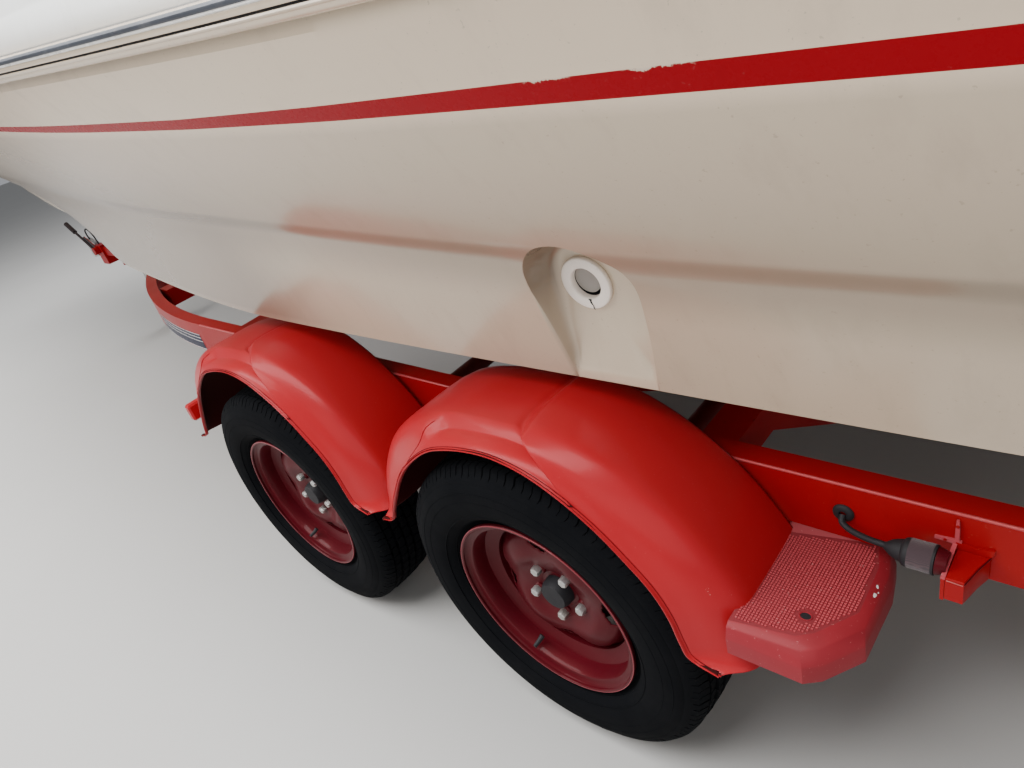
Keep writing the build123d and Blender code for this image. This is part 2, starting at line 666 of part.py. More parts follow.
def side_beam():
    th = math.radians(BEAM_TURN)
    cx, cy = BEAM_BEND_X, yc - BEAM_R
    ro, ri = BEAM_R + BEAM_W / 2, BEAM_R - BEAM_W / 2

    def on(r, a):
        return (cx + r * math.sin(a), cy + r * math.cos(a), ZB)
    a0, a1, a2 = on(ro, 0), on(ro, th / 2), on(ro, th)
    b0, b1, b2 = on(ri, 0), on(ri, th / 2), on(ri, th)
    # straight part that runs to the drawbar
    L = 640.0
    e = (math.cos(th) * L, -math.sin(th) * L)
    oa = (a2[0] + e[0], a2[1] + e[1], ZB)
    ob = (b2[0] + e[0], b2[1] + e[1], ZB)
    w = Wire([Line((BEAM_AFT, BEAM_OUT_Y, ZB), a0), ThreePointArc(a0, a1, a2), Line(a2, b2),
              ThreePointArc(b2, b1, b0), Line(b0, (BEAM_AFT, BEAM_OUT_Y - BEAM_W, ZB)),
              Line((BEAM_AFT, BEAM_OUT_Y - BEAM_W, ZB), (BEAM_AFT, BEAM_OUT_Y, ZB))])
    body = extrude(Face(w), amount=BEAM_H, dir=(0, 0, 1))
    drop = 175.0
    f0 = poly_face([a2, b2, (b2[0], b2[1], ZT), (a2[0], a2[1], ZT)])
    f1 = poly_face([(oa[0], oa[1], ZB - drop), (ob[0], ob[1], ZB - drop),
                    (ob[0], ob[1], ZT - drop), (oa[0], oa[1], ZT - drop)])
    leg = loft([f0, f1], ruled=True)
    return body + leg


draw = box(DRAW_AFT, DRAW_FORE, -DRAW_W / 2, DRAW_W / 2, DRAW_TOP - DRAW_H, DRAW_TOP)
sb = side_beam() - box(0, 5000, -DRAW_W / 2 - 0.3, DRAW_W / 2 + 0.3, -400, 400)
put("side_beam_port", sb)
put("side_beam_starboard", mirror_y(sb))
put("drawbar", draw)

# cross-members: x of the after face, width, depth below the beam top at the centre
CROSS = [(-277, 65, 182), (110, 60, 182), (1250, 65, 182), (2040, 65, 188), (-1010, 60, 262)]
for x0, w, drop in CROSS:
    yi = BEAM_OUT_Y - BEAM_W - 0.3
    if x0 > 1900:
        # narrower where the beams have curved in
        a = math.asin((x0 + w - BEAM_BEND_X) / BEAM_R)
        yi = (yc - BEAM_R) + (BEAM_R - BEAM_W / 2) * math.cos(a) - 5.0
    zt, zb = ZT - 8, ZT - 73
    k, m = (540, 260) if x0 < 1900 else (470, 150)
    pts = [(x0, yi, zt), (x0, k, zt), (x0, m, zt - drop), (x0, -m, zt - drop), (x0, -k, zt), (x0, -yi, zt),
           (x0, -yi, zb), (x0, -k - 14, zb), (x0, -m - 14, zb - drop), (x0, m + 14, zb - drop),
           (x0, k + 14, zb), (x0, yi, zb)]
    cm = prism(pts, (1, 0, 0), w)
    if x0 > 1900:
        cm = cm - box(DRAW_AFT - 5, DRAW_FORE, -DRAW_W / 2 - 0.3, DRAW_W / 2 + 0.3, -200, DRAW_TOP + 0.3)
    put("cross_members", cm)

# keel rollers, x, on brackets from the cross-members and the drawbar
ROLLERS = [(-244, 0), (140, 0), (1282, 0), (2072, 0), (3300, 0)]
for x, _ in ROLLERS:
    kz = bottom_z(x, 0)
    base = DRAW_TOP if x > 2000 else ZT - 8 - 182
    rr = 26.0
    cz = kz - rr - 3
    roll = turned([(-95, 8.3), (95, 8.3), (95, rr + 12), (60, rr + 2), (0, rr - 6), (-60, rr + 2), (-95, rr + 12)], x, cz - 12)
    put("keel_rollers", roll)
    pin = rod((x, -112, cz - 12), (x, 112, cz - 12), 8)
    br = [box(x - 20, x + 20, s * 104 - 4, s * 104 + 4, base + 0.3, cz + 2) for s in (1, -1)]
    b2 = box(x - 24, x + 24, -112, 112, base + 0.3, base + 7)
    put("frame_brackets", fuse(pin, b2, *br))

# bunks: carpeted bearers under the bottom panels, on posts from the cross-members
BUNK_Y, BUNK_W, BUNK_H = 440.0, 90.0, 60.0
slope = math.degrees(math.atan2(262, 805))


BUNK_X = [-1080.0, -400.0, 750.0, 1420.0]
BUNK_GAP = 3.0


def bunk(side):
    def sec(x):
        zi, zo = (bottom_z(x, BUNK_Y + d) - BUNK_GAP for d in (-BUNK_W / 2, BUNK_W / 2))
        return poly_face([(x, BUNK_Y - BUNK_W / 2, zi), (x, BUNK_Y + BUNK_W / 2, zo),
                          (x, BUNK_Y + BUNK_W / 2, zo - BUNK_H), (x, BUNK_Y - BUNK_W / 2, zi - BUNK_H)])
    s = loft([sec(x) for x in BUNK_X], ruled=True)
    return s if side > 0 else mirror_y(s)


def bunk_z(x):
    return bottom_z(x, BUNK_Y) - BUNK_GAP


for side in (1, -1):
    put("hull_bunks", bunk(side))
    for x0, w, drop in CROSS:
        if x0 > 1900:
            continue
        xm = x0 + w / 2
        # top of the cross-member under the bunk
        t = (BUNK_Y - 260) / 280.0
        zc = ZT - 8 - drop * (1 - t)
        y0, y1 = side * BUNK_Y - 22, side * BUNK_Y + 22
        p = box(xm - 22, xm + 22, y0, y1, zc - 30, bunk_z(xm) - BUNK_H - 17)
        cmcut = [s for s in nodes["cross_members"]]
        for c in cmcut:
            p = p - c
        put("frame_brackets", p)

# ---------------------------------------------------------------- axles and springs
for ax, az, n in ((0.0, 0.0, "rear"), (FRONT_AXLE_X, FRONT_AXLE_Z, "front")):
    tube = rod((ax, -760, az), (ax, 760, az), 27) + \
        rod((ax, -872, az), (ax, 872, az), 20)
    put("axles", tube)
    for s in (1, -1):
        y0, y1 = s * 705 - 25, s * 705 + 25
        # spring pack: three leaves, from hanger to hanger under the beam
        top_z = 122.0
        seat = az + 27.3
        lv = []
        for k, half in enumerate((330, 235, 140)):
            t = 9.0
            za, zm = (top_z - 12 * k * 0, seat + 9 * (2 - k))
            sag = zm
            end = zm + (top_z - 20 - zm) * (half / 330.0) ** 2
            pts = [(ax - half, y0, end), (ax - half / 2, y0, zm + (end - zm) * 0.27), (ax, y0, zm),
                   (ax + half / 2, y0, zm + (end - zm) * 0.27), (ax + half, y0, end),
                   (ax + half, y0, end + t - 0.2), (ax + half / 2, y0, zm + (end - zm) * 0.27 + t - 0.2), (ax, y0, zm + t - 0.2),
                   (ax - half / 2, y0, zm + (end - zm) * 0.27 + t - 0.2), (ax - half, y0, end + t - 0.2)]
            lv.append(prism(pts, (0, 1, 0), 50))
        plate = box(ax - 45, ax + 45, y0 - 6, y1 + 6, seat + 27.5, seat + 37) + \
            box(ax - 45, ax + 45, y0 - 6, y0 - 0.5, seat - 20, seat + 37) + \
            box(ax - 45, ax + 45, y1 + 0.5, y1 + 6, seat - 20, seat + 37)
        plate = plate - rod((ax, -760, az), (ax, 760, az), 27)
        put("leaf_springs", fuse(*lv) + plate)
        for e in (-330, 330):
            h = box(ax + e - 28, ax + e + 28, y0 - 8, y0 - 1, 90, ZB) + \
                box(ax + e - 28, ax + e + 28, y1 + 1, y1 + 8, 90, ZB) + \
                box(ax + e - 28, ax + e + 28, y0 - 8, y1 + 8, ZB - 7, ZB - 0.3)
            h = h & box(-5000, 5000, -1000, 1000, 0, ZB - 0.3)
            put("frame_brackets", h)

# ---------------------------------------------------------------- road wheels
# tyre profile: y from the tyre's middle, radius
TYRE = [(-61.5, 179.5), (-61.5, 196), (-78, 206), (-90, 232), (-92.5, 262), (-86, 292), (-72, 312), (-58, 321),
        (-30, 325), (30, 325), (58, 321), (72, 312), (86, 292), (92.5, 262), (90, 232), (78, 206), (61.5, 196), (61.5, 179.5)]
# rim barrel, closed profile: y from the tyre's middle, radius
RIM = [(-70, 195), (-63, 195), (-62, 179), (-40, 177), (-34, 150), (20, 150), (28, 177), (62, 179),
       (63, 195), (76, 195), (76, 190), (68, 188), (66, 172), (32, 171), (22, 144), (-38, 144),
       (-46, 170), (-66, 173), (-68, 188), (-70, 188)]


def road_wheel(cx, cz, s):
    def m(rows):
        return [(s * (TYRE_Y + y), r) for y, r in rows]
    tyre = turned(m([(y, r) for y, r in TYRE]), cx, cz)
    barrel = turned(m(RIM), cx, cz)
    # pressed centre disc, dished, and hub with brake drum
    disc = turned(m([(18, 147), (26, 147), (34, 118), (28, 86), (10, 74), (10, 0.0), (3, 0.0), (3, 78),
                     (20, 92), (26, 116)]), cx, cz)
    for a in (45, 135, 225, 315):
        hx = cx + 112 * math.cos(math.radians(a))
        hz_ = cz + 112 * math.sin(math.radians(a))
        disc = disc - rod((hx, s * (TYRE_Y - 30), hz_), (hx, s * (TYRE_Y + 60), hz_), 17)
    drum = turned(m([(3.6, 24), (3.6, 70), (-10, 100), (-56, 100), (-56, 40), (-98, 40), (-98, 20.05), (3.6, 20.05)]), cx, cz)
    cap = turned(m([(9.6, 0.0), (9.6, 31), (34, 28), (42, 20), (42, 0.0)]), cx, cz)
    w = barrel + disc + drum + cap
    return tyre, w


WHEELS = [("rear", 0.0, 0.0), ("front", FRONT_AXLE_X, FRONT_AXLE_Z)]
for n, cx, cz in WHEELS:
    for sd, s in (("left", 1), ("right", -1)):
        t, w = road_wheel(cx, cz, s)
        put("tyre_%s_%s" % (n, sd), t)
        put("road_wheel_%s_%s" % (n, sd), w)

# ---------------------------------------------------------------- mudguards
# outer side profile about the wheel station: x, z above the beam frame's axle line
GUARD_IN_Y, GUARD_OUT_Y, GUARD_T = 736.0, 970.0, 4.0
G = dict(f0=(402, 92), f1=(334, 244), f2=(214, 359), t0=(150, 379), t1=(-36, 386),
         r1=(-205, 350), r2=(-346, 232), r3=(-404, 112))


def guard_wire(scale, y):
    p = {k: (v[0] * scale, y, v[1] * scale) for k, v in G.items()}
    return p


def mudguard(x0, s):
    def arch(sc):
        p = guard_wire(sc, GUARD_IN_Y)
        return p
    o, i = arch(1.0), arch(1.0 - GUARD_T / 400.0)
    w = Wire([ThreePointArc(o["f0"], o["f1"], o["f2"]), Line(o["f2"], o["t0"]), Line(o["t0"], o["t1"]),
              ThreePointArc(o["t1"], o["r1"], o["r2"]), Line(o["r2"], o["r3"]), Line(o["r3"], i["r3"]),
              Line(i["r3"], i["r2"]), ThreePointArc(i["r2"], i["r1"], i["t1"]), Line(i["t1"], i["t0"]),
              Line(i["t0"], i["f2"]), ThreePointArc(i["f2"], i["f1"], i["f0"]), Line(i["f0"], o["f0"])])
    strip = extrude(Face(w), amount=GUARD_OUT_Y - GUARD_IN_Y, dir=(0, 1, 0))
    # outer skirt down to the arch lip
    w2 = Wire([ThreePointArc(o["f0"], o["f1"], o["f2"]), Line(o["f2"], o["t0"]), Line(o["t0"], o["t1"]),
               ThreePointArc(o["t1"], o["r1"], o["r2"]), Line(o["r2"], o["r3"]), Line(o["r3"], o["f0"])])
    skirt = extrude(Face(w2), amount=GUARD_T, dir=(0, 1, 0))
    skirt = Pos(0, GUARD_OUT_Y - GUARD_T - GUARD_IN_Y, 0) * skirt
    cutter = rod((0, 900, 8), (0, 1000, 8), 360)
    skirt = skirt - cutter
    g = strip + skirt
    g = Pos(x0, 0, 0) * g
    return g if s > 0 else mirror_y(g)


GUARD_X = [("rear", 0.0), ("front", 819.0)]
for n, x0 in GUARD_X:
    for sd, s in (("left", 1), ("right", -1)):
        put("mudguards", mudguard(x0, s))
        # stays from the beam
        for dx, z0 in ((60, 250), (-60, 250)):
            st = box(x0 + dx - 15, x0 + dx + 15, BEAM_OUT_Y + 0.3, BEAM_OUT_Y + 6.3, 190, 378)
            st = st + box(x0 + dx - 15, x0 + dx + 15, BEAM_OUT_Y + 0.3, 860, 372, 377.5)
            put("frame_brackets", st if s > 0 else mirror_y(st))

# ---------------------------------------------------------------- steps
STEP = [(-404, 690), (-536, 690), (-536, 880), (-490, 948), (-404, 950)]
STEP_TOP, STEP_H, STEP_T = ZB - 0.3, 56.0, 4.0


def step(s):
    def pr(shrink, z0, z1):
        pts = []
        for x, y in STEP:
            pts.append((x + (shrink if x < -450 else -shrink if shrink else 0), y + (-shrink if y > 800 else shrink), z0))
        return prism(pts, (0, 0, 1), z1 - z0)
    st = pr(0, STEP_TOP - STEP_H, STEP_TOP) - pr(STEP_T, STEP_TOP - STEP_H - 2, STEP_TOP - STEP_T)
    st = st - rod((-462, 884, STEP_TOP - 30), (-462, 884, STEP_TOP + 10), 7)
    return st if s > 0 else mirror_y(st)


put("steps", step(1), step(-1))

# ---------------------------------------------------------------- lamps and lead at the rear
GROM = (-456.0, 222.0)                   # grommet in the beam, x, z
LEAD_R = 4.5
PLUG_Y, PLUG_Z = 761.0, 218.0
LEAD = [(-456, 730.8, 221), (-458, 737, 214), (-472, 744.5, 211), (-493, 753, 213.5), (-511, 759, 217.5), (-529, 761, 218.5)]
for s in (1, -1):
    # lead from the grommet, hanging in a short bight, and the boot over the lamp's neck
    ld = lead([(x, s * y, z) for x, y, z in LEAD], LEAD_R)
    grommet = rod((GROM[0], s * (BEAM_OUT_Y + 0.3), GROM[1]), (GROM[0], s * (BEAM_OUT_Y + 6), GROM[1]), 15)
    boot = cone((-526, s * PLUG_Y, PLUG_Z), (-585, s * PLUG_Y, PLUG_Z), 13, 20.5)
    put("lamp_leads", fuse(grommet, ld, boot))
    # lamp body with a tapering neck, and its star-shaped bracket flat on the beam
    body = cone((-585.4, PLUG_Y, PLUG_Z), (-602, PLUG_Y, PLUG_Z), 19, 14) + \
        prism([(-600, 728, 177), (-600, 785, 177), (-628, 785, 177), (-640, 728, 177)], (0, 0, 1), 45)
    arm = box(-643, -573, BEAM_OUT_Y + 0.3, BEAM_OUT_Y + 4.3, 221, 231) + \
        box(-604.5, -595.5, BEAM_OUT_Y + 0.3, BEAM_OUT_Y + 4.3, 200, 265) + \
        prism([(-598, BEAM_OUT_Y + 0.3, 230), (-664, BEAM_OUT_Y + 0.3, 217), (-664, BEAM_OUT_Y + 0.3, 209),
               (-598, BEAM_OUT_Y + 0.3, 190)], (0, 1, 0), 4) + \
        box(-600, -595, BEAM_OUT_Y + 0.3, 785, 174.5, 222)
    put("trailer_lamps", body + arm if s > 0 else mirror_y(body + arm))
# rear lamp boards at the beams' after ends
for s in (1, -1):
    y0, y1 = (560, 860) if s > 0 else (-860, -560)
    put("frame_brackets", box(BEAM_AFT - 6.3, BEAM_AFT - 0.3, y0, y1, 120, 260))
    put("trailer_lamps", box(BEAM_AFT - 52, BEAM_AFT - 6.6, y0 + 20, y1 - 20, 130, 250))
# small marker lamps on the front mudguards' forward brackets
for s in (1, -1):
    b = box(819 + 409.5, 819 + 442, 850, 905, 112, 165)
    put("trailer_lamps", b if s > 0 else mirror_y(b))
    c = box(819 + 403, 819 + 409, 840, 915, 100, 175)
    put("frame_brackets", c if s > 0 else mirror_y(c))

# ---------------------------------------------------------------- front of the trailer
# overrun housing with the parking brake lever, gaiter, and coupling head with its ball socket
HOUS_X0, HOUS_X1 = 4330.0, 4420.0
housing = box(HOUS_X0, HOUS_X1, -40, 40, -38, 88) + box(DRAW_FORE + 0.3, HOUS_X0 + 2, -28, 28, 20, NECK_TOP) + \
    box(DRAW_FORE + 0.3, DRAW_FORE + 12, -44, 44, -24, 84)
# parking brake lever, its toothed quadrant and its grip
lever = rod((4380, 60, 60), (4650, 60, 236), 8) + rod((4380, 38, 60), (4380, 72, 60), 24) + \
    rod((4566, 60, 60 + 186 * 176 / 270.0), (4650, 60, 236), 14) + \
    prism([(4372, 42, 50), (4440, 42, 40), (4524, 42, 92), (4534, 42, 140), (4500, 42, 148), (4390, 42, 86)], (0, 1, 0), 5)
put("overrun_housing", housing + lever)
BALL_X, BALL_Z = 4520.0, 20.0
put("overrun_gaiter", Plane(origin=(HOUS_X1 + 0.5, 0, BALL_Z + 18), z_dir=(1, 0, 0)) *
    Cylinder(30, BALL_X - 64.5 - HOUS_X1 - 0.5, align=(Align.CENTER, Align.CENTER, Align.MIN)))
head = box(BALL_X - 64, BALL_X + 40, -34, 34, BALL_Z - 8, BALL_Z + 52) + rod((BALL_X, 0, BALL_Z - 16), (BALL_X, 0, BALL_Z + 40), 40)
head = head + prism([(BALL_X - 40, -14, BALL_Z + 50), (BALL_X, -14, BALL_Z + 50), (BALL_X + 75, -14, BALL_Z + 84),
                     (BALL_X + 75, -14, BALL_Z + 96), (BALL_X, -14, BALL_Z + 76), (BALL_X - 40, -14, BALL_Z + 70)], (0, 1, 0), 28)
head = head - rod((BALL_X, 0, BALL_Z - 40), (BALL_X, 0, BALL_Z + 15), 25.3) - Pos(BALL_X, 0, BALL_Z) * Sphere(25.3)
put("coupling_head", head)
# breakaway brake cable, a loop from the housing to the head's handle
BRAKE = [(4400, 16, 80), (4404, 16, 118), (4428, 15, 158), (4470, 12, 181), (4518, 9, 184), (4560, 6, 166), (4576, 3, 132), (4566, 0, 100)]
bc = lead(BRAKE, LEAD_R)
put("brake_cable", bc - box(HOUS_X0, HOUS_X1, -40, 40, -38, 88.3) - head)
# short winch post with a bow chock under the forefoot, winch, and strap to the bow eye
post = box(3960, 4040, -30, 30, DRAW_TOP + 0.3, 150) + box(3950, 4050, -50, 50, DRAW_TOP + 0.3, DRAW_TOP + 8)
put("winch_post", post)
put("keel_rollers", prism([(3960, -70, 150.5), (3960, 70, 150.5), (3960, 70, 300), (3960, -70, 300)], (1, 0, 0), 80)
    - Pos(0, 0, -6) * hull_outer)
wz = 150.0
wn = [box(4100, 4215, s * 36 - 3, s * 36 + 3, NECK_TOP + 0.5, wz + 40) for s in (1, -1)]
wb = box(4090, 4225, -45, 45, NECK_TOP + 0.5, NECK_TOP + 7)
winch = fuse(wb, *wn) + rod((4158, -60, wz), (4158, 60, wz), 10) + rod((4158, -33.5, wz), (4158, 33.5, wz), 30)
put("winch_post", winch)
st0 = Vector(4158 + 26, 0, wz + 18)
st1 = Vector(BOW_EYE[0] - 24, 0, BOW_EYE[2] - 6)
d = (st1 - st0)
nn = Vector(-d.Z, 0, d.X).normalized() * 1.5
w_ = Vector(0, 20, 0)
strap = prism([tuple(st0 + nn - w_), tuple(st1 + nn - w_), tuple(st1 - nn - w_), tuple(st0 - nn - w_)], (0, 1, 0), 40)
put("winch_strap", strap - eye - winch)

# jockey wheel on the starboard side of the drawbar
JX, JY = 4250.0, -110.0
J_TUBE_R, J_LEG_R = 24.0, 20.0
jc = box(JX - 34, JX + 34, JY, -28.3, 18, NECK_TOP - 1) + rod((JX, JY, 18), (JX, JY, NECK_TOP - 1), 33)
tube = ring((JX, JY, -100), (JX, JY, 236), J_TUBE_R, J_LEG_R + 0.05)
jc = jc - rod((JX, JY, -10), (JX, JY, 120), J_TUBE_R - 1)
crank = rod((JX, JY, 234), (JX, JY, 252), J_TUBE_R) + rod((JX, JY, 250), (JX, JY, 272), 8) + \
    rod((JX, JY, 266), (JX + 100, JY, 266), 6) + rod((JX + 98, JY, 262), (JX + 98, JY, 322), 10)
put("jockey_tube", fuse(jc, tube, crank))
J_WHEEL_R = 100.0
J_TRAIL = 38.0
jw_x = JX - J_TRAIL
jw_z = level_z_for(jw_x, J_WHEEL_R)
leg = rod((JX, JY, jw_z + 118), (JX, JY, 20), J_LEG_R)
put("jockey_leg", leg + rod((JX, JY, jw_z + 118), (JX, JY, jw_z + 126), 34))
fork = rod((JX, JY, jw_z + 112), (JX, JY, jw_z + 117.6), 34)
for s in (1, -1):
    y0 = JY + s * 31
    f = prism([(JX - 26, y0 - 3, jw_z + 112), (JX + 26, y0 - 3, jw_z + 112), (JX + 14, y0 - 3, jw_z + 40),
               (jw_x + 20, y0 - 3, jw_z - 16), (jw_x - 20, y0 - 3, jw_z - 16), (jw_x - 24, y0 - 3, jw_z + 20)], (0, 1, 0), 6)
    fork = fork + f
fork = fork + box(JX - 26, JX + 26, JY - 34, JY + 34, jw_z + 107, jw_z + 113) + rod((jw_x, JY - 38, jw_z), (jw_x, JY + 38, jw_z), 8)
put("jockey_fork", fork)
jt = turned([(JY - 22, 8.05), (JY - 22, 40), (JY - 14, 60), (JY - 22, 70), (JY - 22, 90), (JY - 14, J_WHEEL_R), (JY + 14, J_WHEEL_R),
             (JY + 22, 90), (JY + 22, 70), (JY + 14, 60), (JY + 22, 40), (JY + 22, 8.05)], jw_x, jw_z)
put("jockey_wheel", jt)

# ---------------------------------------------------------------- into the row frame
allb = None
pitch = Pos(0, 0, TYRE_R) * Rot(0, -PITCH, 0)
done = {}
for name, shapes in nodes.items():
    sol = []
    for s in shapes:
        sol += list((pitch * s).solids())
    done[name] = sol
lo = [1e9] * 3
hi = [-1e9] * 3
for sol in done.values():
    for s in sol:
        bb = s.bounding_box()
        for k, (a, b) in enumerate(zip(tuple(bb.min), tuple(bb.max))):
            lo[k], hi[k] = min(lo[k], a), max(hi[k], b)
SHIFT_X = -(lo[0] + hi[0]) / 2
print("box", [round(v, 1) for v in lo], [round(v, 1) for v in hi], "shift", round(SHIFT_X, 3))


def to_row(x, y, z):
    """Level frame point to the row frame, in metres."""
    return [round((x * COS - z * SIN + SHIFT_X) / 1000, 6), round(y / 1000, 6),
            round((x * SIN + z * COS + TYRE_R) / 1000, 6)]


for name, sol in done.items():
    moved = [Pos(SHIFT_X, 0, 0) * s for s in sol]
    export_step(Compound(children=moved) if len(moved) > 1 else moved[0], "parts/%s.step" % name)
print(len(done), "nodes")
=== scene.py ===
import bpy, bmesh, math, random
from mathutils import Vector, Matrix, noise


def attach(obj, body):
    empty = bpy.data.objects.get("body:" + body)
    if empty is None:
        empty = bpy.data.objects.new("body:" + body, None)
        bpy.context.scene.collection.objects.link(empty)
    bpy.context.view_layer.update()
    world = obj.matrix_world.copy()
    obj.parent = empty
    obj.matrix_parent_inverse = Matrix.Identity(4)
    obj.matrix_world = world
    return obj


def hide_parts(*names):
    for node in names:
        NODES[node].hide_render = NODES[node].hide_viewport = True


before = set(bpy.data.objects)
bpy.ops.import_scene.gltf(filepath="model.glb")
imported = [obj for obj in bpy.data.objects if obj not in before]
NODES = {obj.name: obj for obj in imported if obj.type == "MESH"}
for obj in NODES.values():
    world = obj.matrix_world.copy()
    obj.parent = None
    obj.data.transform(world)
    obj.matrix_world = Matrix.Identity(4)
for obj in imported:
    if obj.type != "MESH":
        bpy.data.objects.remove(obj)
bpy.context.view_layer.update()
random.seed(7)

# ------------------------------------------------------------------ frame
# Level frame of the trailer in mm (x from the rear axle, z above it), pitched
# nose up and lifted on to the tyres; W() gives row-frame metres.
PITCH = 2.9
SHX = -2335.387
SN, CS = math.sin(math.radians(PITCH)), math.cos(math.radians(PITCH))


def W(x, y, z):
    return Vector(((x * CS - z * SN + SHX) / 1000, y / 1000, (x * SN + z * CS + 325) / 1000))


def D(x, y, z):
    return Vector((x * CS - z * SN, y, x * SN + z * CS)).normalized()


AP = 820.0
BEAM_Z = 274.0      # top of the side beams
FX, FZ = AP * CS, -AP * SN


# ------------------------------------------------------------------ tables
# x, keel z, chine y, chine z, knuckle y, knuckle z, sheer y, sheer z
HULL = [
    (-1600, 190, 760, 442, 862, 692, 1000, 1016), (-400, 181, 802, 440, 903, 699, 1062, 1028),
    (750, 178, 826, 443, 909, 736, 1090, 1062), (1600, 177, 775, 478, 850, 762, 1078, 1093),
    (2400, 178, 595, 512, 758, 780, 1038, 1122), (3200, 184, 395, 566, 640, 795, 958, 1153),
    (4000, 205, 275, 615, 498, 816, 840, 1182), (4700, 281, 190, 664, 352, 840, 705, 1209),
    (5300, 455, 100, 718, 215, 866, 545, 1232), (5800, 668, 32, 795, 96, 930, 352, 1253),
    (6200, 905, 12, 950, 40, 1035, 180, 1268), (6440, 1130, 6, 1150, 14, 1180, 52, 1276)]
# x, band height, tumblehome, crown
DECK = [
    (-1600, 185, 45, 14), (-400, 195, 50, 18), (750, 200, 55, 60), (1600, 200, 60, 110), (2400, 196, 62, 118),
    (3200, 186, 64, 104), (4000, 170, 62, 80), (4700, 150, 56, 56), (5300, 128, 46, 36), (5800, 105, 34, 22),
    (6200, 84, 20, 12), (6440, 70, 8, 6)]
WELL = [(-1350, 700), (-400, 765), (750, 780), (1330, 735)]


def slopes(T, k):
    n = len(T)
    m = [0.0] * n
    d = [(T[i + 1][k] - T[i][k]) / (T[i + 1][0] - T[i][0]) for i in range(n - 1)]
    m[0], m[-1] = d[0], d[-1]
    for i in range(1, n - 1):
        if d[i - 1] * d[i] <= 0:
            m[i] = 0.5 * (d[i - 1] + d[i]) if abs(d[i - 1] + d[i]) < 0.03 else 0.0
        else:
            h0, h1 = T[i][0] - T[i - 1][0], T[i + 1][0] - T[i][0]
            w0, w1 = 2 * h1 + h0, h1 + 2 * h0
            m[i] = (w0 + w1) / (w0 / d[i - 1] + w1 / d[i])
    return m


HS = {k: slopes(HULL, k) for k in range(1, 8)}
DS = {k: slopes(DECK, k) for k in range(1, 4)}


def herm(T, S, k, x):
    x = max(T[0][0], min(T[-1][0], x))
    for i in range(len(T) - 1):
        if x <= T[i + 1][0]:
            h = T[i + 1][0] - T[i][0]
            t = (x - T[i][0]) / h
            a, b = T[i][k], T[i + 1][k]
            m0, m1 = S[k][i] * h, S[k][i + 1] * h
            return ((2 * t ** 3 - 3 * t * t + 1) * a + (t ** 3 - 2 * t * t + t) * m0 +
                    (-2 * t ** 3 + 3 * t * t) * b + (t ** 3 - t * t) * m1)
    return T[-1][k]


def hull_row(x):
    return [x] + [herm(HULL, HS, k, x) for k in range(1, 8)]


def deck_row(x):
    return [x] + [herm(DECK, DS, k, x) for k in range(1, 4)]


def lin(T, x):
    for a, b in zip(T, T[1:]):
        if a[0] <= x <= b[0]:
            t = (x - a[0]) / (b[0] - a[0])
            return [u + t * (v - u) for u, v in zip(a, b)]
    return list(T[0] if x < T[0][0] else T[-1])


def smooth(t):
    t = max(0.0, min(1.0, t))
    return t * t * (3 - 2 * t)


def mix(a, b, t):
    return a + (b - a) * t


# ------------------------------------------------------------------ materials
class NT:
    def __init__(self, name):
        self.m = bpy.data.materials.new(name)
        self.m.use_nodes = True
        self.t = self.m.node_tree
        self.b = self.t.nodes["Principled BSDF"]
        self.tc = self.t.nodes.new("ShaderNodeTexCoord")

    def n(self, typ, **kw):
        nd = self.t.nodes.new(typ)
        for k, v in kw.items():
            setattr(nd, k, v)
        return nd

    def link(self, a, b):
        self.t.links.new(a, b)

    def coords(self, scale=(1, 1, 1), rot=(0, 0, 0)):
        mp = self.n("ShaderNodeMapping")
        mp.inputs["Scale"].default_value = scale
        mp.inputs["Rotation"].default_value = rot
        self.link(self.tc.outputs["Object"], mp.inputs["Vector"])
        return mp.outputs[0]

    def noise(self, scale, detail=3, rough=0.55, vec=None, dist=0.0):
        nd = self.n("ShaderNodeTexNoise")
        nd.inputs["Scale"].default_value = scale
        nd.inputs["Detail"].default_value = detail
        nd.inputs["Roughness"].default_value = rough
        nd.inputs["Distortion"].default_value = dist
        self.link(vec if vec is not None else self.coords(), nd.inputs["Vector"])
        return nd.outputs["Fac"]

    def ramp(self, fac, stops):
        r = self.n("ShaderNodeValToRGB")
        e = r.color_ramp.elements
        while len(e) < len(stops):
            e.new(0.5)
        for el, (p, c) in zip(e, stops):
            el.position = p
            el.color = (c, c, c, 1) if isinstance(c, (int, float)) else (*c, 1)
        self.link(fac, r.inputs[0])
        return r.outputs[0]

    def mixc(self, fac, a, b, mode="MIX"):
        m = self.n("ShaderNodeMix", data_type="RGBA", blend_type=mode)
        for sock, v in ((m.inputs[0], fac), (m.inputs[6], a), (m.inputs[7], b)):
            if isinstance(v, (int, float)):
                sock.default_value = v
            elif isinstance(v, tuple):
                sock.default_value = (*v, 1)
            else:
                self.link(v, sock)
        return m.outputs[2]

    def math(self, op, a, b=0.0, c=0.0):
        m = self.n("ShaderNodeMath", operation=op)
        for i, v in enumerate((a, b, c)):
            if isinstance(v, (int, float)):
                m.inputs[i].default_value = v
            else:
                self.link(v, m.inputs[i])
        return m.outputs[0]

    def color(self, c):
        if isinstance(c, tuple):
            self.b.inputs["Base Color"].default_value = (*c, 1)
        else:
            self.link(c, self.b.inputs["Base Color"])

    def rough(self, r):
        if isinstance(r, (int, float)):
            self.b.inputs["Roughness"].default_value = r
        else:
            self.link(r, self.b.inputs["Roughness"])

    def bump(self, h, strength=0.3, dist=0.001):
        b = self.n("ShaderNodeBump")
        b.inputs["Strength"].default_value = strength
        b.inputs["Distance"].default_value = dist
        self.link(h, b.inputs["Height"])
        self.link(b.outputs[0], self.b.inputs["Normal"])

    def set(self, **kw):
        for k, v in kw.items():
            self.b.inputs[k.replace("_", " ")].default_value = v
        return self


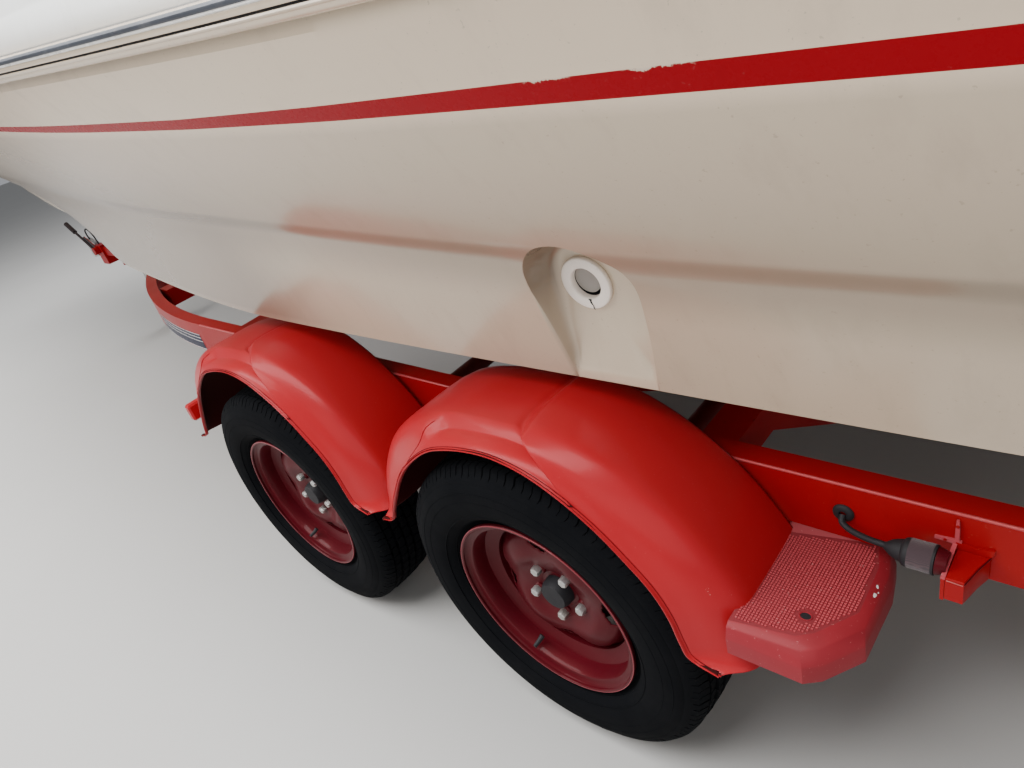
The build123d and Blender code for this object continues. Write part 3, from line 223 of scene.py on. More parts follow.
def m_gelcoat(name, base, dark, rough=(0.16, 0.30), streak=0.35, coat=0.3, painted_shade=False):
    t = NT(name)
    big = t.noise(1.3, 4, 0.6)
    st = t.noise(3.0, 5, 0.65, t.coords((6.0, 6.0, 0.7)))
    fine = t.noise(45, 4, 0.6)
    c = t.mixc(t.ramp(big, [(0.35, 0.0), (0.7, 1.0)]), base, tuple(0.95 * v for v in base))
    c = t.mixc(t.math("MULTIPLY", t.ramp(st, [(0.52, 0.0), (0.75, 1.0)]), streak), c, dark)
    # hair-line scuffs
    sc = t.noise(9.0, 6, 0.75, t.coords((0.6, 1.0, 9.0), (0.0, 0.35, 0.0)))
    c = t.mixc(t.math("MULTIPLY", t.ramp(sc, [(0.68, 0.0), (0.73, 1.0)]), 0.22), c, tuple(min(1, 1.12 * v) for v in base))
    # sparse dust specks
    c = t.mixc(t.math("MULTIPLY", t.ramp(t.noise(210, 2, 0.5), [(0.70, 0.0), (0.74, 1.0)]), 0.30), c, dark)
    # painted shade: the per-vertex painted_shade attribute mixes the colour towards the dark tone
    if painted_shade:
        at = t.n("ShaderNodeAttribute", attribute_name="painted_shade")
        c = t.mixc(at.outputs["Fac"], c, dark)
    t.color(c)
    t.rough(t.math("ADD", t.math("MULTIPLY", fine, rough[1] - rough[0]), rough[0]))
    t.bump(t.math("ADD", t.noise(14, 2, 0.4), t.math("MULTIPLY", fine, 0.25)), 0.05, 0.004)
    t.set(Coat_Weight=coat, Coat_Roughness=0.06, IOR=1.5)
    return t.m


def m_paint(name, base, dusty, rough=(0.22, 0.5), chips=0.0, coat=0.25, grime=(0.03, 0.02, 0.015), grime_amt=0.35, tint=None, level=0.5,
            dust=0.2, dustc=(0.42, 0.20, 0.17)):
    t = NT(name)
    big = t.noise(2.6, 5, 0.6)
    fine = t.noise(60, 5, 0.65)
    c = t.mixc(t.ramp(big, [(0.35, 0.0), (0.75, 1.0)]), base, dusty)
    g = t.noise(8.0, 6, 0.7, t.coords((1, 1, 0.45)))
    c = t.mixc(t.math("MULTIPLY", t.ramp(g, [(0.60, 0.0), (0.85, 1.0)]), grime_amt), c, grime)
    # dust specks and thin pale rubs
    c = t.mixc(t.math("MULTIPLY", t.ramp(t.noise(230, 3, 0.6), [(0.66, 0.0), (0.72, 1.0)]), dust), c, dustc)
    rb = t.noise(11.0, 6, 0.75, t.coords((0.5, 5.0, 6.0), (0.2, 0.3, 0.0)))
    c = t.mixc(t.math("MULTIPLY", t.ramp(rb, [(0.69, 0.0), (0.74, 1.0)]), dust), c, dustc)
    if chips:
        ch = t.ramp(t.noise(34, 5, 0.62), [(0.715, 0.0), (0.73, 1.0)])
        c = t.mixc(t.math("MULTIPLY", ch, chips), c, grime)
    t.color(c)
    t.rough(t.math("ADD", t.math("MULTIPLY", t.noise(5.0, 5, 0.7), rough[1] - rough[0]), rough[0]))
    t.bump(t.math("ADD", t.noise(22, 3, 0.5), t.math("MULTIPLY", fine, 0.3)), 0.06, 0.003)
    t.set(Coat_Weight=coat, Coat_Roughness=0.10, Specular_IOR_Level=level)
    if tint:
        t.set(Specular_Tint=(*tint, 1))
    return t.m


def m_rubber(name, base, worn, rough=0.62, scale=60, bump=0.25, dust=0.35, dustc=(0.16, 0.15, 0.13)):
    t = NT(name)
    c = t.mixc(t.ramp(t.noise(6, 5, 0.65), [(0.35, 0.0), (0.7, 1.0)]), base, worn)
    c = t.mixc(t.math("MULTIPLY", t.ramp(t.noise(17, 6, 0.7), [(0.55, 0.0), (0.75, 1.0)]), dust), c, dustc)
    t.color(c)
    t.rough(t.math("ADD", t.math("MULTIPLY", t.noise(30, 3), 0.2), rough - 0.1))
    t.bump(t.noise(scale, 5, 0.6), bump, 0.0015)
    return t.m


def m_metal(name, base, rough=(0.2, 0.38), scale=40, tint=None, bump=0.08, metallic=1.0):
    t = NT(name)
    c = t.mixc(t.ramp(t.noise(7, 5, 0.65), [(0.3, 0.0), (0.75, 1.0)]), base, tint or tuple(0.75 * v for v in base))
    t.color(c)
    t.rough(t.math("ADD", t.math("MULTIPLY", t.noise(scale, 5, 0.7), rough[1] - rough[0]), rough[0]))
    t.bump(t.noise(scale * 3, 4, 0.6), bump, 0.0008)
    t.set(Metallic=metallic)
    return t.m


def m_vinyl(name, base, shade):
    t = NT(name)
    v = t.n("ShaderNodeTexVoronoi", feature="F1")
    v.inputs["Scale"].default_value = 420
    t.link(t.coords(), v.inputs["Vector"])
    c = t.mixc(t.ramp(t.noise(3.5, 4, 0.6), [(0.35, 0.0), (0.7, 1.0)]), base, shade)
    c = t.mixc(t.math("MULTIPLY", t.ramp(t.noise(26, 5, 0.7), [(0.6, 0.0), (0.8, 1.0)]), 0.25), c, tuple(0.7 * q for q in shade))
    t.color(c)
    t.rough(t.math("ADD", t.math("MULTIPLY", t.noise(12, 3), 0.2), 0.36))
    t.bump(t.math("ADD", v.outputs["Distance"], t.math("MULTIPLY", t.noise(30, 4), 1.2)), 0.22, 0.0009)
    t.set(Coat_Weight=0.12, Coat_Roughness=0.35)
    return t.m


def m_fabric(name, base, shade, scale=900):
    t = NT(name)
    w1 = t.n("ShaderNodeTexWave", wave_type="BANDS", bands_direction="X")
    w1.inputs["Scale"].default_value = scale / 6
    t.link(t.coords(), w1.inputs["Vector"])
    w2 = t.n("ShaderNodeTexWave", wave_type="BANDS", bands_direction="Y")
    w2.inputs["Scale"].default_value = scale / 6
    t.link(t.coords(), w2.inputs["Vector"])
    h = t.math("MULTIPLY", w1.outputs["Fac"], w2.outputs["Fac"])
    c = t.mixc(h, shade, base)
    c = t.mixc(t.math("MULTIPLY", t.ramp(t.noise(9, 6, 0.7), [(0.5, 0.0), (0.75, 1.0)]), 0.4), c, tuple(0.55 * q for q in shade))
    t.color(c)
    t.rough(0.85)
    t.bump(t.math("ADD", h, t.noise(260, 3)), 0.5, 0.001)
    t.set(Sheen_Weight=0.25, Sheen_Roughness=0.5)
    return t.m


def m_glass(name, tint):
    t = NT(name)
    t.color(t.mixc(t.ramp(t.noise(4, 4), [(0.4, 0.0), (0.75, 1.0)]), tint, tuple(0.9 * v for v in tint)))
    t.rough(t.math("ADD", t.math("MULTIPLY", t.ramp(t.noise(11, 6, 0.7), [(0.5, 0.0), (0.8, 1.0)]), 0.10), 0.03))
    t.set(Transmission_Weight=0.86, IOR=1.45)
    return t.m


CREAM, CREAM_D = (0.700, 0.570, 0.425), (0.215, 0.165, 0.118)
RT = (1.0, 0.36, 0.34)
M = {}
M["hull"] = m_gelcoat("gelcoat_cream", CREAM, CREAM_D, (0.11, 0.24), 0.14, 0.35)
# side skin and recesses: the same gelcoat with painted shade from the painted_shade attribute
M["hull_side"] = m_gelcoat("gelcoat_cream_sides_painted_shade", CREAM, CREAM_D, (0.13, 0.26), 0.14, 0.18, True)
M["white"] = m_gelcoat("gelcoat_white", (0.93, 0.94, 0.92), (0.60, 0.58, 0.52), (0.15, 0.30), 0.15)
M["white_in"] = m_gelcoat("gelcoat_liner", (0.78, 0.77, 0.73), (0.50, 0.48, 0.43), (0.28, 0.5), 0.30, 0.1)
M["red"] = m_paint("trailer_paint", (0.270, 0.0045, 0.0065), (0.230, 0.0055, 0.0080), (0.28, 0.46), 0.5, 0.03, (0.05, 0.006, 0.008), 0.30, (1.0, 0.5, 0.5), 0.12, 0.10)
M["redg"] = m_paint("mudguard_paint", (0.335, 0.0100, 0.0150), (0.300, 0.0092, 0.0140), (0.28, 0.40), 0.0, 0.05, (0.26, 0.008, 0.011), 0.25, (1.0, 0.50, 0.52), 0.24, 0.07, (0.52, 0.20, 0.19))
_nt = M["redg"].node_tree
_at = _nt.nodes.new("ShaderNodeAttribute")
_at.attribute_name = "scuff"
_nz = _nt.nodes.new("ShaderNodeTexNoise")
_nz.inputs["Scale"].default_value = 150
_nz.inputs["Detail"].default_value = 5
_m1 = _nt.nodes.new("ShaderNodeMath")
_m1.operation = "MULTIPLY_ADD"
_nt.links.new(_at.outputs["Fac"], _m1.inputs[0])
_m1.inputs[1].default_value = 0.62
_nt.links.new(_nz.outputs["Fac"], _m1.inputs[2])
_rp = _nt.nodes.new("ShaderNodeValToRGB")
_rp.color_ramp.elements[0].position = 0.86
_rp.color_ramp.elements[1].position = 0.93
_nt.links.new(_m1.outputs[0], _rp.inputs[0])
_mx = _nt.nodes.new("ShaderNodeMix")
_mx.data_type = "RGBA"
_src = _nt.nodes["Principled BSDF"].inputs["Base Color"].links[0].from_socket
_nt.links.new(_rp.outputs[0], _mx.inputs[0])
_nt.links.new(_src, _mx.inputs[6])
_mx.inputs[7].default_value = (0.62, 0.34, 0.30, 1)
_nt.links.new(_mx.outputs[2], _nt.nodes["Principled BSDF"].inputs["Base Color"])
# road wheels: the trailer's red darkened to maroon, painted shade for wheels under the mudguards
M["wheel"] = m_paint("wheel_paint_painted_shade", (0.060, 0.0024, 0.0058), (0.048, 0.003, 0.006), (0.3, 0.55), 0.5, 0.10, (0.025, 0.006, 0.006), 0.6, RT, 0.15, 0.15, (0.13, 0.040, 0.042))
M["step"] = m_paint("step_paint", (0.205, 0.0115, 0.0180), (0.188, 0.0150, 0.0220), (0.4, 0.65), 0.35, 0.03, (0.11, 0.010, 0.014), 0.4, (1.0, 0.6, 0.6), 0.30, 0.35, (0.42, 0.19, 0.19))
M["tyre"] = m_rubber("tyre_rubber", (0.0024, 0.0027, 0.0036), (0.0042, 0.0045, 0.0054), 0.88, 90, 0.22, 0.10, (0.014, 0.0135, 0.013))
M["tyre"].node_tree.nodes["Principled BSDF"].inputs["Specular IOR Level"].default_value = 0.05
M["black"] = m_rubber("black_rubber", (0.008, 0.008, 0.010), (0.015, 0.014, 0.016), 0.62, 70, 0.15, 0.2, (0.05, 0.04, 0.04))
M["black"].node_tree.nodes["Principled BSDF"].inputs["Specular IOR Level"].default_value = 0.25
M["navy"] = m_rubber("rub_rail_rubber", (0.016, 0.020, 0.032), (0.035, 0.042, 0.058), 0.5, 50, 0.12, 0.35, (0.20, 0.20, 0.20))
M["grey"] = m_rubber("flap_rubber", (0.245, 0.220, 0.198), (0.275, 0.250, 0.225), 0.55, 60, 0.12, 0.3, (0.17, 0.15, 0.13))
M["plastic"] = m_gelcoat("white_plastic", (0.74, 0.73, 0.71), (0.45, 0.42, 0.36), (0.2, 0.36), 0.35, 0.15)
M["outlet"] = m_gelcoat("outlet_flange", (0.86, 0.78, 0.70), (0.40, 0.33, 0.26), (0.42, 0.6), 0.10, 0.0)
M["alu"] = m_metal("satin_aluminium", (0.78, 0.79, 0.80), (0.22, 0.42), 55)
M["steel"] = m_metal("polished_steel", (0.74, 0.75, 0.77), (0.08, 0.2), 40)
M["zinc"] = m_metal("zinc_plate", (0.55, 0.56, 0.57), (0.35, 0.6), 35, (0.40, 0.38, 0.34), 0.2)
M["bronze"] = m_metal("cast_bronze", (0.55, 0.38, 0.19), (0.25, 0.5), 45, (0.36, 0.30, 0.17), 0.25)
M["spring"] = m_paint("spring_steel", (0.045, 0.04, 0.038), (0.13, 0.065, 0.035), (0.5, 0.8), 0.5, 0.0, (0.18, 0.08, 0.04), 0.6)
M["axle"] = m_paint("axle_paint", (0.12, 0.006, 0.006), (0.07, 0.012, 0.010), (0.4, 0.7), 0.6, 0.05, (0.05, 0.02, 0.015), 0.7, RT, 0.4)
M["iron"] = m_paint("engine_paint", (0.03, 0.045, 0.06), (0.05, 0.055, 0.06), (0.35, 0.6), 0.5, 0.05)
M["vinyl"] = m_vinyl("seat_vinyl", (0.72, 0.68, 0.60), (0.60, 0.56, 0.49))
M["vinyl_red"] = m_vinyl("piping_vinyl", (0.26, 0.008, 0.012), (0.20, 0.008, 0.010))
M["berth"] = m_fabric("berth_cloth", (0.22, 0.25, 0.33), (0.12, 0.14, 0.20))
M["carpet"] = m_fabric("bunk_carpet", (0.10, 0.10, 0.105), (0.035, 0.035, 0.04), 1400)
M["strap"] = m_fabric("strap_webbing", (0.030, 0.030, 0.034), (0.012, 0.012, 0.014), 1200)
M["glass"] = m_glass("tinted_glass", (0.55, 0.60, 0.60))
M["lens_red"] = m_glass("lens_red", (0.62, 0.01, 0.012)); M["lens_red"].node_tree.nodes["Principled BSDF"].inputs["Transmission Weight"].default_value = 0.25
M["lens_amber"] = m_glass("lens_amber", (0.75, 0.24, 0.01)); M["lens_amber"].node_tree.nodes["Principled BSDF"].inputs["Transmission Weight"].default_value = 0.25
M["lens_white"] = m_glass("lens_white", (0.8, 0.8, 0.78)); M["lens_white"].node_tree.nodes["Principled BSDF"].inputs["Transmission Weight"].default_value = 0.35
M["dark"] = m_rubber("dark_plastic", (0.02, 0.02, 0.022), (0.035, 0.035, 0.038), 0.42, 300, 0.15, 0.1)
M["teak"] = None
M["step_floor"] = m_paint("step_floor_painted_shade", (0.150, 0.016, 0.021), (0.180, 0.030, 0.036), (0.45, 0.7), 0.2, 0.0, (0.10, 0.010, 0.012), 0.4, RT, 0.3, 0.5, (0.40, 0.22, 0.21))
# near-black paint for the inside of the mudguard arches: painted shade
M["under"] = m_paint("mudguard_underside_painted_shade", (0.045, 0.0045, 0.0050), (0.020, 0.0055, 0.0055), (0.6, 0.85), 0.3, 0.0, (0.012, 0.010, 0.009), 0.8, RT, 0.15, 0.3, (0.05, 0.035, 0.03))
# paler red for thin edge lines: painted highlight
M["scuffed"] = m_paint("scuffed_edge_paint", (0.42, 0.14, 0.13), (0.30, 0.03, 0.03), (0.35, 0.55), 0.3, 0.1, (0.2, 0.01, 0.01), 0.5, RT, 0.4, 0.5, (0.6, 0.42, 0.38))
# paler red for the ring on the rim flange: painted highlight
M["wheel_edge"] = m_paint("wheel_edge_paint", (0.25, 0.050, 0.062), (0.18, 0.02, 0.03), (0.3, 0.5), 0.4, 0.1, (0.06, 0.006, 0.010), 0.5, RT, 0.4, 0.3)
M["sleeve"] = m_fabric("dusty_sleeve", (0.085, 0.034, 0.040), (0.022, 0.014, 0.019), 2200)
# paler red for the lamp bracket's arms and plate edge: painted highlight
M["arm"] = m_paint("arm_painted_highlight", (0.400, 0.065, 0.080), (0.300, 0.030, 0.040), (0.35, 0.55), 0.2, 0.05, (0.2, 0.01, 0.015), 0.4, (1.0, 0.6, 0.6), 0.3, 0.3, (0.55, 0.32, 0.30))
# paler red for the beams' upper edge: painted highlight
M["beam_edge"] = m_paint("beam_edge_painted_highlight", (0.470, 0.070, 0.078), (0.300, 0.018, 0.022), (0.25, 0.40), 0.3, 0.15, (0.12, 0.01, 0.012), 0.5, (1.0, 0.6, 0.6), 0.4, 0.4, (0.55, 0.36, 0.34))
M["step_sq"] = m_paint("step_square_painted_highlight", (0.380, 0.064, 0.074), (0.330, 0.050, 0.060), (0.4, 0.6), 0.2, 0.0, (0.12, 0.012, 0.015), 0.4, (1.0, 0.6, 0.6), 0.3, 0.5, (0.50, 0.26, 0.25))
M["step_strip"] = m_paint("step_strip_paint", (0.300, 0.060, 0.068), (0.250, 0.040, 0.048), (0.4, 0.6), 0.2, 0.0, (0.14, 0.014, 0.018), 0.5, (1.0, 0.6, 0.6), 0.3, 0.5, (0.50, 0.28, 0.27))


def m_teak():
    t = NT("teak_sole")
    vec = t.coords((1, 1, 1))
    sep = t.n("ShaderNodeSeparateXYZ")
    t.link(vec, sep.inputs[0])
    planks = t.math("FRACT", t.math("MULTIPLY", sep.outputs[1], 16.0))
    seam = t.math("LESS_THAN", planks, 0.08)
    grain = t.noise(5.0, 6, 0.7, t.coords((1.2, 26, 20)))
    c = t.mixc(grain, (0.24, 0.125, 0.055), (0.40, 0.24, 0.12))
    c = t.mixc(seam, c, (0.02, 0.02, 0.02))
    t.color(c)
    t.rough(0.55)
    t.bump(t.math("SUBTRACT", t.math("MULTIPLY", grain, 0.3), seam), 0.4, 0.002)
    return t.m


M["teak"] = m_teak()


# stripe: red vinyl on the gelcoat, flaked along its upper edge in a few places
def m_stripe():
    t = NT("stripe_vinyl")
    at = t.n("ShaderNodeAttribute", attribute_name="sv")
    sx = t.n("ShaderNodeAttribute", attribute_name="sx")
    n = t.noise(55, 6, 0.75)
    edge = t.math("ADD", at.outputs["Fac"], t.math("MULTIPLY", t.math("SUBTRACT", n, 0.5), 0.75))
    chip = t.math("MULTIPLY", sx.outputs["Fac"], t.ramp(edge, [(0.93, 0.0), (0.95, 1.0)]))
    c = t.mixc(t.noise(4, 4), (0.262, 0.0018, 0.0072), (0.295, 0.0024, 0.0090))
    c = t.mixc(t.math("MULTIPLY", t.ramp(t.noise(160, 3, 0.6), [(0.68, 0.0), (0.73, 1.0)]), 0.10), c, (0.45, 0.2, 0.19))
    c = t.mixc(chip, c, (0.62, 0.53, 0.42))
    t.color(c)
    t.rough(t.math("ADD", t.math("MULTIPLY", n, 0.15), 0.2))
    t.bump(t.math("MULTIPLY", chip, -1.0), 0.4, 0.001)
    t.set(Coat_Weight=0.0, Specular_IOR_Level=0.07, Specular_Tint=(1.0, 0.4, 0.42, 1))
    return t.m


M["stripe"] = m_stripe()


# generic dark-blue band with pale border lines, for the curved part of the side beams
def m_band():
    t = NT("beam_band")
    at = t.n("ShaderNodeAttribute", attribute_name="bv")
    ln = None
    for p in (0.03, 0.52, 0.76, 0.97):
        d = t.math("ABSOLUTE", t.math("SUBTRACT", at.outputs["Fac"], p))
        l1 = t.math("LESS_THAN", d, 0.019)
        ln = l1 if ln is None else t.math("MAXIMUM", ln, l1)
    wear = t.ramp(t.noise(70, 5, 0.7), [(0.58, 1.0), (0.66, 0.6)])
    c = t.mixc(t.noise(9, 4), (0.006, 0.008, 0.026), (0.010, 0.012, 0.036))
    c = t.mixc(t.math("MULTIPLY", ln, wear), c, (0.62, 0.60, 0.60))
    t.color(c)
    t.rough(t.math("ADD", t.math("MULTIPLY", t.noise(40, 4), 0.2), 0.22))
    t.set(Coat_Weight=0.0, Specular_IOR_Level=0.06)
    return t.m


M["band"] = m_band()


# ------------------------------------------------------------------ mesh helpers
def mesh(name, verts, faces, mat, smooth_=True, angle=None):
    me = bpy.data.meshes.new(name)
    me.from_pydata([tuple(v) for v in verts], [], faces)
    me.validate()
    for mm in (mat if isinstance(mat, (list, tuple)) else [mat]):
        me.materials.append(mm)
    o = bpy.data.objects.new(name, me)
    bpy.context.scene.collection.objects.link(o)
    if smooth_:
        me.polygons.foreach_set("use_smooth", [True] * len(me.polygons))
        if angle is not None:
            sharp(o, angle)
    return o


def sharp(o, angle=30.0):
    bm = bmesh.new()
    bm.from_mesh(o.data)
    lim = math.radians(angle)
    for e in bm.edges:
        e.smooth = not (len(e.link_faces) == 2 and e.calc_face_angle(0) > lim)
    bm.to_mesh(o.data)
    bm.free()
    return o


def grid(nu, nv, f, close_u=False, close_v=False):
    verts = [f(i, j) for i in range(nu) for j in range(nv)]
    faces = []
    for i in range(nu if close_u else nu - 1):
        for j in range(nv if close_v else nv - 1):
            a, b = i, (i + 1) % nu
            c, d = j, (j + 1) % nv
            faces.append((a * nv + c, b * nv + c, b * nv + d, a * nv + d))
    return verts, faces


class Build:
    """Many small pieces in one mesh."""

    def __init__(self):
        self.v, self.f, self.mi = [], [], []

    def add(self, verts, faces, mi=0):
        n = len(self.v)
        self.v += [Vector(v) for v in verts]
        self.f += [tuple(i + n for i in f) for f in faces]
        self.mi += [mi] * len(faces)

    def box(self, c, size, axes=None, bev=0.0, mi=0):
        """Box with chamfered edges about centre c; axes is three unit vectors."""
        ax = axes or (Vector((1, 0, 0)), Vector((0, 1, 0)), Vector((0, 0, 1)))
        h = [s / 2 for s in size]
        if bev <= 0:
            pts = [(sx * h[0], sy * h[1], sz * h[2]) for sx in (-1, 1) for sy in (-1, 1) for sz in (-1, 1)]
            fs = [(0, 1, 3, 2), (4, 6, 7, 5), (0, 4, 5, 1), (2, 3, 7, 6), (0, 2, 6, 4), (1, 5, 7, 3)]
            self.add([c + ax[0] * p[0] + ax[1] * p[1] + ax[2] * p[2] for p in pts], fs, mi)
            return
        b = min(bev, 0.45 * min(size))
        pts, idx = [], {}
        for sx in (-1, 1):
            for sy in (-1, 1):
                for sz in (-1, 1):
                    s = (sx, sy, sz)
                    for k in range(3):
                        p = [s[i] * (h[i] - b) for i in range(3)]
                        p[k] = s[k] * h[k]
                        idx[(s, k)] = len(pts)
                        pts.append(p)
        fs = []
        for k in range(3):
            i, j = (k + 1) % 3, (k + 2) % 3
            for sk in (-1, 1):
                q = []
                for si, sj in ((-1, -1), (1, -1), (1, 1), (-1, 1)):
                    s = [0, 0, 0]
                    s[k], s[i], s[j] = sk, si, sj
                    q.append(idx[(tuple(s), k)])
                fs.append(tuple(q if sk > 0 else q[::-1]))
        for k in range(3):
            i, j = (k + 1) % 3, (k + 2) % 3
            for si in (-1, 1):
                for sj in (-1, 1):
                    s0, s1 = [0, 0, 0], [0, 0, 0]
                    s0[i] = s1[i] = si
                    s0[j] = s1[j] = sj
                    s0[k], s1[k] = -1, 1
                    a, bq = idx[(tuple(s0), i)], idx[(tuple(s1), i)]
                    cq, d = idx[(tuple(s1), j)], idx[(tuple(s0), j)]
                    q = (a, bq, cq, d)
                    fs.append(q if si * sj < 0 else q[::-1])
        for sx in (-1, 1):
            for sy in (-1, 1):
                for sz in (-1, 1):
                    s = (sx, sy, sz)
                    q = (idx[(s, 0)], idx[(s, 1)], idx[(s, 2)])
                    fs.append(q if sx * sy * sz > 0 else q[::-1])
        self.add([c + ax[0] * p[0] + ax[1] * p[1] + ax[2] * p[2] for p in pts], fs, mi)

    def lathe(self, prof, c, axis, n=32, mi=0, closed=False):
        """Rows (along axis, radius) turned about the line through c."""
        a = axis.normalized()
        u = a.orthogonal().normalized()
        w = a.cross(u)
        k = len(prof)
        vs = []
        for i in range(n):
            th = 2 * math.pi * i / n
            d = u * math.cos(th) + w * math.sin(th)
            vs += [c + a * p[0] + d * p[1] for p in prof]
        fs = []
        for i in range(n):
            j = (i + 1) % n
            for q in range(k if closed else k - 1):
                r = (q + 1) % k
                fs.append((i * k + q, i * k + r, j * k + r, j * k + q))
        if not closed:
            for q, rev in ((0, True), (k - 1, False)):
                if prof[q][1] > 1e-6:
                    f = [i * k + q for i in range(n)]
                    fs.append(tuple(f[::-1]) if not rev else tuple(f))
        self.add(vs, fs, mi)

    def tube(self, pts, r, n=10, mi=0, caps=True, closed=False):
        """Round tube along a path; r is one radius or one for each point."""
        m = len(pts)
        pts = [Vector(p) for p in pts]
        rr = r if isinstance(r, (list, tuple)) else [r] * m
        tang = []
        for i in range(m):
            a = pts[(i - 1) % m] if closed or i > 0 else pts[i]
            b = pts[(i + 1) % m] if closed or i < m - 1 else pts[i]
            tang.append((b - a).normalized())
        u = tang[0].orthogonal().normalized()
        vs = []
        for i in range(m):
            u = (u - tang[i] * u.dot(tang[i])).normalized()
            w = tang[i].cross(u)
            for k in range(n):
                th = 2 * math.pi * k / n
                vs.append(pts[i] + (u * math.cos(th) + w * math.sin(th)) * rr[i])
        fs = []
        for i in range(m if closed else m - 1):
            j = (i + 1) % m
            for k in range(n):
                l = (k + 1) % n
                fs.append((i * n + k, j * n + k, j * n + l, i * n + l))
        if caps and not closed:
            fs.append(tuple(range(n))[::-1])
            fs.append(tuple((m - 1) * n + k for k in range(n)))
        self.add(vs, fs, mi)

    def obj(self, name, mats, angle=35.0, body="root"):
        o = mesh(name, self.v, self.f, mats, True)
        o.data.polygons.foreach_set("material_index", self.mi)
        bm = bmesh.new()
        bm.from_mesh(o.data)
        bmesh.ops.recalc_face_normals(bm, faces=bm.faces)
        bm.to_mesh(o.data)
        bm.free()
        sharp(o, angle)
        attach(o, body)
        return o


def catmull(pts, per=8, closed=False):
    pts = [Vector(p) for p in pts]
    n = len(pts)
    out = []
    for i in range(n if closed else n - 1):
        p1, p2 = pts[i], pts[(i + 1) % n]
        p0 = pts[(i - 1) % n] if closed or i > 0 else p1 * 2 - p2
        p3 = pts[(i + 2) % n] if closed or i < n - 2 else p2 * 2 - p1
        for k in range(per):
            t = k / per
            out.append(0.5 * ((2 * p1) + (p2 - p0) * t + (2 * p0 - 5 * p1 + 4 * p2 - p3) * t * t +
                              (3 * p1 - p0 - 3 * p2 + p3) * t ** 3))
    if not closed:
        out.append(pts[-1])
    return out


def bevel(o, w=0.002, seg=2, ang=30):
    md = o.modifiers.new("bevel", "BEVEL")
    md.width = w
    md.segments = seg
    md.limit_method = "ANGLE"
    md.angle_limit = math.radians(ang)
    md.harden_normals = False


def give(node, mat, bev=None, seg=2):
    o = NODES[node]
    o.data.materials.clear()
    o.data.materials.append(mat)
    if bev:
        bevel(o, bev, seg)


# ------------------------------------------------------------------ hull skin
BOW_X = 6440.0


def xs_hull():
    out = []
    x = -1600.0
    while x < 4600:
        out.append(x)
        x += 45.0
    while x < BOW_X - 12:
        out.append(x)
        x += 28.0
    out.append(BOW_X)
    return out


# recess of the side outlet: outline on the side panel (x, z), floor plane, centre of the outlet
OUT_X, OUT_Z, OUT_Y = -163.0, 611.0, 817.58
REC = [(-237.8, 440), (-100, 440), (-100, 614), (-105, 643), (-115, 664), (-129, 679), (-146, 691.5), (-165, 700.5), (-187, 705), (-208, 704), (-227, 697.5),
       (-241, 691), (-254, 682), (-268, 670.5), (-276.3, 658), (-280, 643), (-278, 621), (-272, 592), (-258, 526)]


def chaikin(P, n):
    for _ in range(n):
        Q = [P[0]]
        for a, b_ in zip(P, P[1:]):
            Q += [(mix(a[0], b_[0], 0.25), mix(a[1], b_[1], 0.25)), (mix(a[0], b_[0], 0.75), mix(a[1], b_[1], 0.75))]
        P = Q + [P[-1]]
    return P


REC = REC[:2] + chaikin(REC[2:], 2)


def rec_floor(z):
    return 803 + (z - 449) * 0.09


def ray_out(th):
    """Distance from the outlet's centre to the outline in direction th of the x-z plane."""
    dx, dz = math.cos(th), math.sin(th)
    best = 1e9
    for (x0, z0), (x1, z1) in zip(REC, REC[1:] + REC[:1]):
        ex, ez = x1 - x0, z1 - z0
        den = dx * ez - dz * ex
        if abs(den) < 1e-9:
            continue
        t = ((x0 - OUT_X) * ez - (z0 - OUT_Z) * ex) / den
        k = ((x0 - OUT_X) * dz - (z0 - OUT_Z) * dx) / den
        if t > 0 and -1e-6 <= k <= 1 + 1e-6:
            best = min(best, t)
    return best


def unW(v):
    xr, zr = v.x * 1000 - SHX, v.z * 1000 - 325
    return xr * CS + zr * SN, v.y * 1000, -xr * SN + zr * CS


# stripe's lower edge and height, mm, read off along x
STRIPE = [(-1600, 872, 26), (-670, 883, 25), (-450, 889, 24), (0, 900, 20), (330, 912, 17), (690, 930, 16), (1250, 963, 12),
          (2200, 1012, 8), (3200, 1052, 5.5), (4400, 1098, 3.5), (5600, 1140, 2), (6440, 1200, 0.8)]


